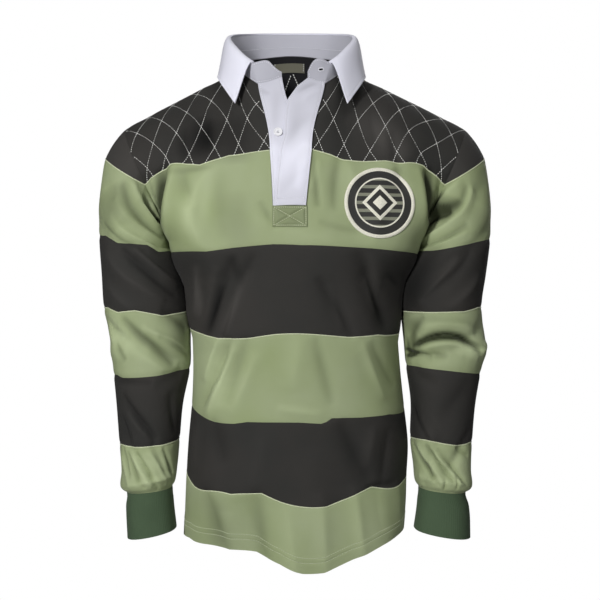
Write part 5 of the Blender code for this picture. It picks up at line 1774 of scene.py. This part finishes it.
def cutButtonhole(piece):
    # a slot through the left end of the stand, with satin stitch round it
    half, bend = buttonhole["length"] / 2, buttonhole["width"] / 2
    outline = []
    for end in (1, -1):
        for degrees in range(-90, 91, 15):
            turn = math.radians(degrees)
            outline.append((end * (half - bend + bend * math.cos(turn)),
                            end * bend * math.sin(turn)))
    tilt = math.radians(buttonhole["turn"])
    outline = [(buttonhole["x"] + x * math.cos(tilt) - z * math.sin(tilt),
                buttonhole["z"] + x * math.sin(tilt) + z * math.cos(tilt)) for x, z in outline]
    count = len(outline)
    verts = [(x * mm, y * mm, z * mm) for y in (buttonhole["from"], buttonhole["to"])
             for x, z in outline]
    faces = [(n, (n + 1) % count, count + (n + 1) % count, count + n) for n in range(count)]
    faces += [tuple(range(count))[::-1], tuple(range(count, 2 * count))]
    mesh = bpy.data.meshes.new("slotCutter")
    mesh.from_pydata(verts, [], faces)
    mesh.update()
    cutter = bpy.data.objects.new("slotCutter", mesh)
    bpy.context.collection.objects.link(cutter)
    makeActive(cutter)
    bpy.ops.object.mode_set(mode="EDIT")
    bpy.ops.mesh.select_all(action="SELECT")
    bpy.ops.mesh.normals_make_consistent(inside=False)
    bpy.ops.object.mode_set(mode="OBJECT")
    before = piece.data.copy()
    cutAway(piece, cutter)
    # satin ring on the outer face
    tree = BVHTree.FromPolygons([v.co for v in before.vertices],
                                [tuple(p.vertices) for p in before.polygons])
    ring, out = [], []
    for x, z in outline:
        hit, normal, _, _ = tree.ray_cast(Vector((x * mm, -0.12, z * mm)), Vector((0, 1, 0)))
        ring.append(hit)
        out.append(normal)
    tubes("buttonhole_satin", [(np.array(ring), unit(np.array(out)))], looks["whiteThread"],
          radius=buttonhole["satin"], sides=8, lift=0.15, closed=True)


def makeCollar():
    at = np.linspace(0, 1, collar["standColumns"] + 1)
    height = np.linspace(0, 1, collar["standRows"] + 1)[:, None, None]
    both = []
    for side in (-1, 1):
        foot, top = neckRing(side, at), collarCurve(side, at, "foldX", "foldY", "foldZ")
        tab = (at - collar["leafEnd"]) / (1 - collar["leafEnd"])
        top[tab > 0] = through(tabStations, np.array(tabTops[side]) * mm, tab[tab > 0])
        both.append(foot * (1 - height) + top * height)
    stand = np.concatenate([both[0][:, ::-1], both[1][:, 1:]], axis=1)
    normals = gridNormals(stand, stand - stand.mean(axis=1, keepdims=True))
    outer = stand + normals * wall["twill"] / 2 * mm
    distance = edgeDistances(outer)
    edges = ("top", "foot", "first", "last")
    rise = stitchedRise([distance[edge] for edge in edges], collar["standStitch"],
                        collar["puff"])
    # the whole stand painted darker: painted shade under the leaf
    piece = makePanel("collar_stand", outer, normals, "twill", raised=rise,
                      tone=collar["standPaintedShade"])
    cutButtonhole(piece)
    seen = outer + normals * 0.15 * mm
    sewWhite("stand_stitching", insetPath(seen, normals, collar["standStitch"], edges))
    # tape that covers the neck seam inside, with the stand's painted shade
    cols = slice(collar["tapeFrom"], -collar["tapeFrom"])
    reach = int(round(collar["tape"] * collar["standRows"]))
    inside = (outer - normals * (wall["twill"] + collar["tapeGap"]) * mm)[:reach + 1, cols]
    inwards = -normals[:reach + 1, cols]
    tape = shell("neck_tape", inside, inwards, collar["tapeThick"] * mm, looks["twill"],
                 tone=collar["standPaintedShade"])
    register(tape, None)
    sewWhite("tape_stitching", insetPath(inside, inwards, collar["tapeStitch"], ("foot",)))
    cols = slice(collar["foldFrom"], -collar["foldFrom"])
    fold = outer[-1, cols] + np.array([0, 0, collar["foldLift"]]) * mm
    tubes("collar_fold", [(fold, normals[-1, cols])], looks["twill"],
          radius=collar["foldRadius"], sides=10, flat=0.9, lift=0.6)

    at = np.linspace(0, collar["leafEnd"], collar["leafColumns"] + 1)
    both = []
    for side in (-1, 1):
        fold = collarCurve(side, at, "foldX", "foldY", "foldZ")
        edge = collarCurve(side, at, "leafX", "leafY", "leafZ")
        out = (edge - fold) * np.array([1, 1, 0]) - np.array([0, collar["forward"], 0]) * mm
        start = fold - unit(out) * 1.0 * mm + np.array([0, 0, collar["gap"]]) * mm
        leave = (unit(out) * collar["roll"] + np.array([0, 0, collar["rise"]])) * mm
        arrive = (edge - fold) * collar["arrive"]
        both.append(np.array([hermite(start, leave, edge, arrive, t)
                              for t in np.linspace(0, 1, collar["leafRows"] + 1)]))
    leaf = np.concatenate([both[0][:, ::-1], both[1][:, 1:]], axis=1)
    normals = gridNormals(leaf, leaf - leaf.mean(axis=1, keepdims=True))
    outer = leaf + normals * wall["twill"] * mm
    distance = edgeDistances(outer)
    rise = stitchedRise([distance[edge] for edge in edges[1:]], collar["edgeStitch"],
                        collar["puff"])
    makePanel("collar_leaf", outer, normals, "twill", raised=rise)
    sewWhite("leaf_stitching", insetPath(outer, normals, collar["edgeStitch"], edges[1:]))


makeCollar()
print("stage: collar")

# placket
# tone: painted shade by mm down from z 0 at the neck, darkest under the collar, lightest lower down
# and a little darker again at the foot; the creases are painted darker in troughs and lighter on
# ridges
placket = {"levels": (0.0, 0.1, 0.3, 0.6, 0.82, 1.0, 1.6),
           "under": (0.33, 0.37, 0.44, 0.60, 0.75, 0.88, 0.94),
           "over": (0.72, 0.58, 0.44, 0.37, 0.35, 0.24, 0.05),
           "columns": 34, "lift": 0.4, "openLevel": 0.3, "edgeStitch": 3.0, "puff": 0.5,
           "footStitch": 10, "calm": 8, "creasePaintedShading": 2.5,
           "tone": ((0, 30, 80, 120, 160, 190), (0.47, 0.46, 0.31, 0.08, 0.14, 0.30))}
# painted shade (above 0) and painted highlight (below 0) strokes on the placket
placketPaintedShading = (
    (4, -60, -6, -120, 10, 0.16),
    (14, -118, 4, -176, 6, -0.2),
    (-20, -90, -22, -170, 6, 0.1),
    (-26, -40, -30, -110, 7, 0.14),
)
placketCreases = (
    (33, -24, 6, -37, 3.5, -1, 1, 0.3),
    (34, -34, 12, -48, 4.5, 0.8, 1, 0.2),
    (-49, -30, -36, -38, 3.5, -0.9, 1, 0.3),
    (22, -74, -14, -118, 8, -0.7, 3, 0.2),
    (20, -112, -20, -160, 9, 0.7, 3, 0.2),
    (16, -150, -18, -184, 7, -0.6, 2, 0.2),
)


def strip(side, node, lift):
    inner = placket["under" if side < 0 else "over"]
    levels = bodyLevels[:footRow + 1]
    reach = np.interp(levels, placket["levels"], inner)
    across = np.linspace(0, 1, placket["columns"] + 1)
    edge = 0 if side < 0 else 1
    top = neckRing(side, collar["leafEnd"] + across * (1 - collar["leafEnd"]))
    ground = slotRow(0.0, edge + (reach[0] - edge) * across)
    rows = []
    for level, end in zip(levels, reach):
        rise = max(1 - level / placket["openLevel"], 0) ** 2
        rows.append(slotRow(level, edge + (end - edge) * across) + (top - ground) * rise)
    points = np.array(rows)
    normals = gridNormals(points, np.array([0, -1, 0]))
    x, z = points[..., 0] / mm, points[..., 2] / mm
    crease = foldHeight(placketCreases, x, z) * ramp(runDown(points), placket["calm"])
    outer = points + normals * (lift * mm + crease)[..., None]
    distance = edgeDistances(outer)
    rise = stitchedRise([distance["first"], distance["last"]], placket["edgeStitch"],
                        placket["puff"])
    rise = np.minimum(rise, stitchedRise([distance["foot"]], placket["footStitch"],
                                         placket["puff"]))
    # painted shade by height, and painted shade and highlight from the creases and strokes
    paintedShadeByHeight = np.interp(-outer[..., 2] / mm, *placket["tone"])
    tone = paintedFoldShading(placket["creasePaintedShading"] * crease, placketPaintedShading, x, z)
    makePanel(node, outer, normals, "twill", raised=rise, tone=paintedShadeByHeight + tone)
    raised = outer + normals * 0.1 * mm
    paths = insetPath(raised, normals, placket["edgeStitch"], ("first", "last"))
    paths += insetPath(raised, normals, placket["footStitch"], ("foot",))
    sewWhite(node + "_stitching", paths)


strip(-1, "placket_under", placket["lift"])
strip(1, "placket_over", 3 * placket["lift"] + wall["twill"])
print("stage: placket")

# label and patch
label = {"levels": (0.06, 0.14), "columns": (-2.2, 1.5), "across": 30, "down": 16, "gap": 0.3,
         "stitch": 1.5}
badge = {"x": 119, "z": -197, "radius": 50, "rings": 60, "spokes": 168, "lift": 0.35,
         "border": (0.90, 1.0), "borderRise": 0.9, "ring": (0.66, 0.70),
         "lozenges": (0.50, 0.38, 0.20), "motifRise": 0.35, "merrow": 0.12, "merrowTurns": 110,
         "stripes": 4.5, "fibre": 0.30}


def makeLabel():
    points, normals = cloths[True]
    columns = np.linspace(*label["columns"], label["across"]) * fine["back"] / quilt["back"]
    columns = fine["back"] + columns
    rows = np.interp(np.linspace(*label["levels"], label["down"]), bodyLevels,
                     np.arange(len(bodyLevels)))
    i, j = np.meshgrid(rows, columns, indexing="ij")
    place, out = onGrid(points, normals, i.ravel(), j.ravel())
    shape = (label["down"], label["across"], 3)
    place, out = place.reshape(shape), out.reshape(shape)
    inside = place - out * (wall["jersey"] + label["gap"]) * mm
    makePanel("neck_label", inside, out, "label")
    seen = inside - out * (wall["label"] + 0.05) * mm
    paths = insetPath(seen, -out, label["stitch"], ("first", "last"))
    sew("label_stitching", paths, "whiteThread", "label_grey", "white")


def badgeMaterial():
    # cream border, charcoal ring, grey field with plain stripes and a lozenge
    material, tree, skin = newMaterial("badgeThread", 0.5, 0.3)
    tone = placeTone(tree)
    x, y = split(tree, uvMap(tree, "face"))
    length = maths(tree, "SQRT", maths(tree, "ADD", maths(tree, "MULTIPLY", x, x),
                                       maths(tree, "MULTIPLY", y, y)))
    lozenge = maths(tree, "ADD", maths(tree, "ABSOLUTE", x), maths(tree, "ABSOLUTE", y))
    stripe = maths(tree, "FRACT", maths(tree, "MULTIPLY_ADD", y, badge["stripes"], 10.0))
    stripe = maths(tree, "ABSOLUTE", maths(tree, "SUBTRACT", stripe, 0.5))
    cream, dark, grey = (0.92, 0.90, 0.76), (0.022, 0.022, 0.020), (0.26, 0.27, 0.20)
    colour = mixColour(tree, maths(tree, "GREATER_THAN", stripe, 0.30), dark, grey)
    for edge, shade in zip(badge["lozenges"], (cream, dark, cream)):
        colour = mixColour(tree, maths(tree, "LESS_THAN", lozenge, edge), colour, shade)
    for edge, shade in zip((*badge["ring"], badge["border"][0]), (cream, dark, cream)):
        colour = mixColour(tree, maths(tree, "GREATER_THAN", length, edge), colour, shade)
    shade = maths(tree, "MULTIPLY", tone.outputs["Fibre"], badge["fibre"])
    colour = mixColour(tree, shade, colour, (0.05, 0.05, 0.045))
    tree.links.new(colour, skin.inputs["Base Color"])
    lines = maths(tree, "SINE", maths(tree, "MULTIPLY", maths(tree, "ADD", x, y), 260.0))
    height = maths(tree, "MULTIPLY_ADD", lines, 0.5, tone.outputs["Fibre"])
    bump(tree, height, skin, 0.5, 0.0004)
    return material


def makeBadge():
    radius = np.linspace(0.004, 1, badge["rings"])[:, None]
    turn = np.linspace(0, 2 * math.pi, badge["spokes"], endpoint=False)[None, :]
    a, b = radius * np.cos(turn), radius * np.sin(turn)
    place, out = onFront(badge["x"] + a * badge["radius"], badge["z"] + b * badge["radius"])
    low, high = badge["border"]
    border = ramp(radius - low, high - low)
    rise = badge["borderRise"] * np.sin(np.pi * border) ** 0.5 * (radius > low)
    merrow = np.sin(turn * badge["merrowTurns"]) * (radius > low) * (radius < 0.999)
    lozenge = np.abs(a) + np.abs(b)
    wide, narrow, core = badge["lozenges"]
    motif = ((lozenge < wide) & (lozenge > narrow)) | (lozenge < core)
    ring = (radius > badge["ring"][0]) & (radius < badge["ring"][1])
    raised = (rise + badge["merrow"] * merrow + badge["motifRise"] * (motif | ring)) * mm
    outer = place + out * (badge["lift"] + wall["patch"]) * mm
    piece = shell("chest_patch_thread", outer, out, wall["patch"] * mm, badgeMaterial(),
                  wrap=True, raised=raised)
    mesh = piece.data
    face = mesh.uv_layers.new(name="face")
    loops = np.empty(len(mesh.loops), int)
    mesh.loops.foreach_get("vertex_index", loops)
    flat = np.stack([a.ravel(), -b.ravel()], axis=1)
    face.data.foreach_set("uv", flat[loops % len(flat)].astype(np.float32).ravel())
    register(piece, "chest_patch")


makeLabel()
makeBadge()
print("stage: label and patch")

# button and buttonhole
button = {"radius": 6.3, "thick": 2.3, "rim": 1.2, "slope": 0.5, "dish": 0.5, "soft": 0.35,
          "hole": 0.75, "holeFrom": 1.35, "level": 0.79, "share": 0.215, "gap": 0.5,
          "thread": 0.32, "threadReach": 0.72, "threadArch": 0.35, "threadDrop": 0.9}


def modelButton():
    bpy.ops.object.select_all(action="DESELECT")
    bpy.ops.mesh.primitive_cylinder_add(vertices=64, radius=button["radius"] * mm,
                                        depth=button["thick"] * mm,
                                        location=(0, 0, button["thick"] / 2 * mm))
    disc = bpy.context.object
    disc.name = "placket_button_shell"
    bpy.ops.object.transform_apply(location=True)
    top = max(disc.data.polygons, key=lambda p: p.center.z)
    for group in (disc.data.vertices, disc.data.edges, disc.data.polygons):
        group.foreach_set("select", [False] * len(group))
    top.select = True
    bpy.ops.object.mode_set(mode="EDIT")
    bpy.ops.mesh.select_mode(type="FACE")
    bpy.ops.mesh.inset(thickness=button["rim"] * mm)
    bpy.ops.mesh.inset(thickness=button["slope"] * mm)
    bpy.ops.transform.translate(value=(0, 0, -button["dish"] * mm))
    bpy.ops.object.mode_set(mode="OBJECT")
    applyChange(disc, "BEVEL", width=button["soft"] * mm, segments=3, limit_method="ANGLE")
    for n in range(4):
        turn = math.pi / 4 + n * math.pi / 2
        bpy.ops.mesh.primitive_cylinder_add(
            vertices=20, radius=button["hole"] * mm, depth=8 * mm,
            location=(button["holeFrom"] * mm * math.cos(turn),
                      button["holeFrom"] * mm * math.sin(turn), 1 * mm))
        cutAway(disc, bpy.context.object)
    bpy.ops.object.shade_smooth_by_angle(angle=math.radians(35))
    return disc


def hardButton():
    material, tree, skin = newMaterial("whiteButton", 0.32, 0.0, specular=0.5)
    place = tree.nodes.new("ShaderNodeTexCoord").outputs["Object"]
    cloud = noise(tree, place, 260.0, 3.0)
    colour = mixColour(tree, cloud, (0.70, 0.70, 0.73), (0.84, 0.84, 0.86))
    tree.links.new(colour, skin.inputs["Base Color"])
    bump(tree, cloud, skin, 0.1, 0.0002)
    return material


def makeButton():
    middle = slotRow(button["level"], [button["share"]])[0]
    beside = slotRow(button["level"], [button["share"] + 0.01])[0]
    below = slotRow(button["level"] + 0.01, [button["share"]])[0]
    normal = unit(np.cross(below - middle, beside - middle))
    normal = -normal if normal[1] > 0 else normal
    seat = middle + normal * (placket["lift"] + button["gap"]) * mm
    disc = modelButton()
    turn = Vector(normal).to_track_quat("Z", "Y").to_matrix().to_4x4()
    turn.translation = Vector(seat)
    disc.data.transform(turn)
    disc.data.materials.clear()
    disc.data.materials.append(hardButton())
    register(disc, "placket_button")
    across, up = (np.array(turn.to_3x3() @ Vector(axis)) for axis in ((1, 0, 0), (0, 1, 0)))
    reach = button["holeFrom"] * mm * button["threadReach"]
    top = seat + normal * (button["thick"] - button["dish"] + 0.1) * mm
    t = np.linspace(-1, 1, 13)[:, None]
    arch = normal * (button["threadArch"] - button["threadDrop"] * t ** 4) * mm
    paths = [(top + leg * reach * t + arch, np.repeat(normal[None], len(t), axis=0))
             for leg in (across + up, across - up)]
    tubes("button_thread", paths, looks["whiteThread"],
          radius=button["thread"], flat=1.0)


makeButton()
print("stage: button")
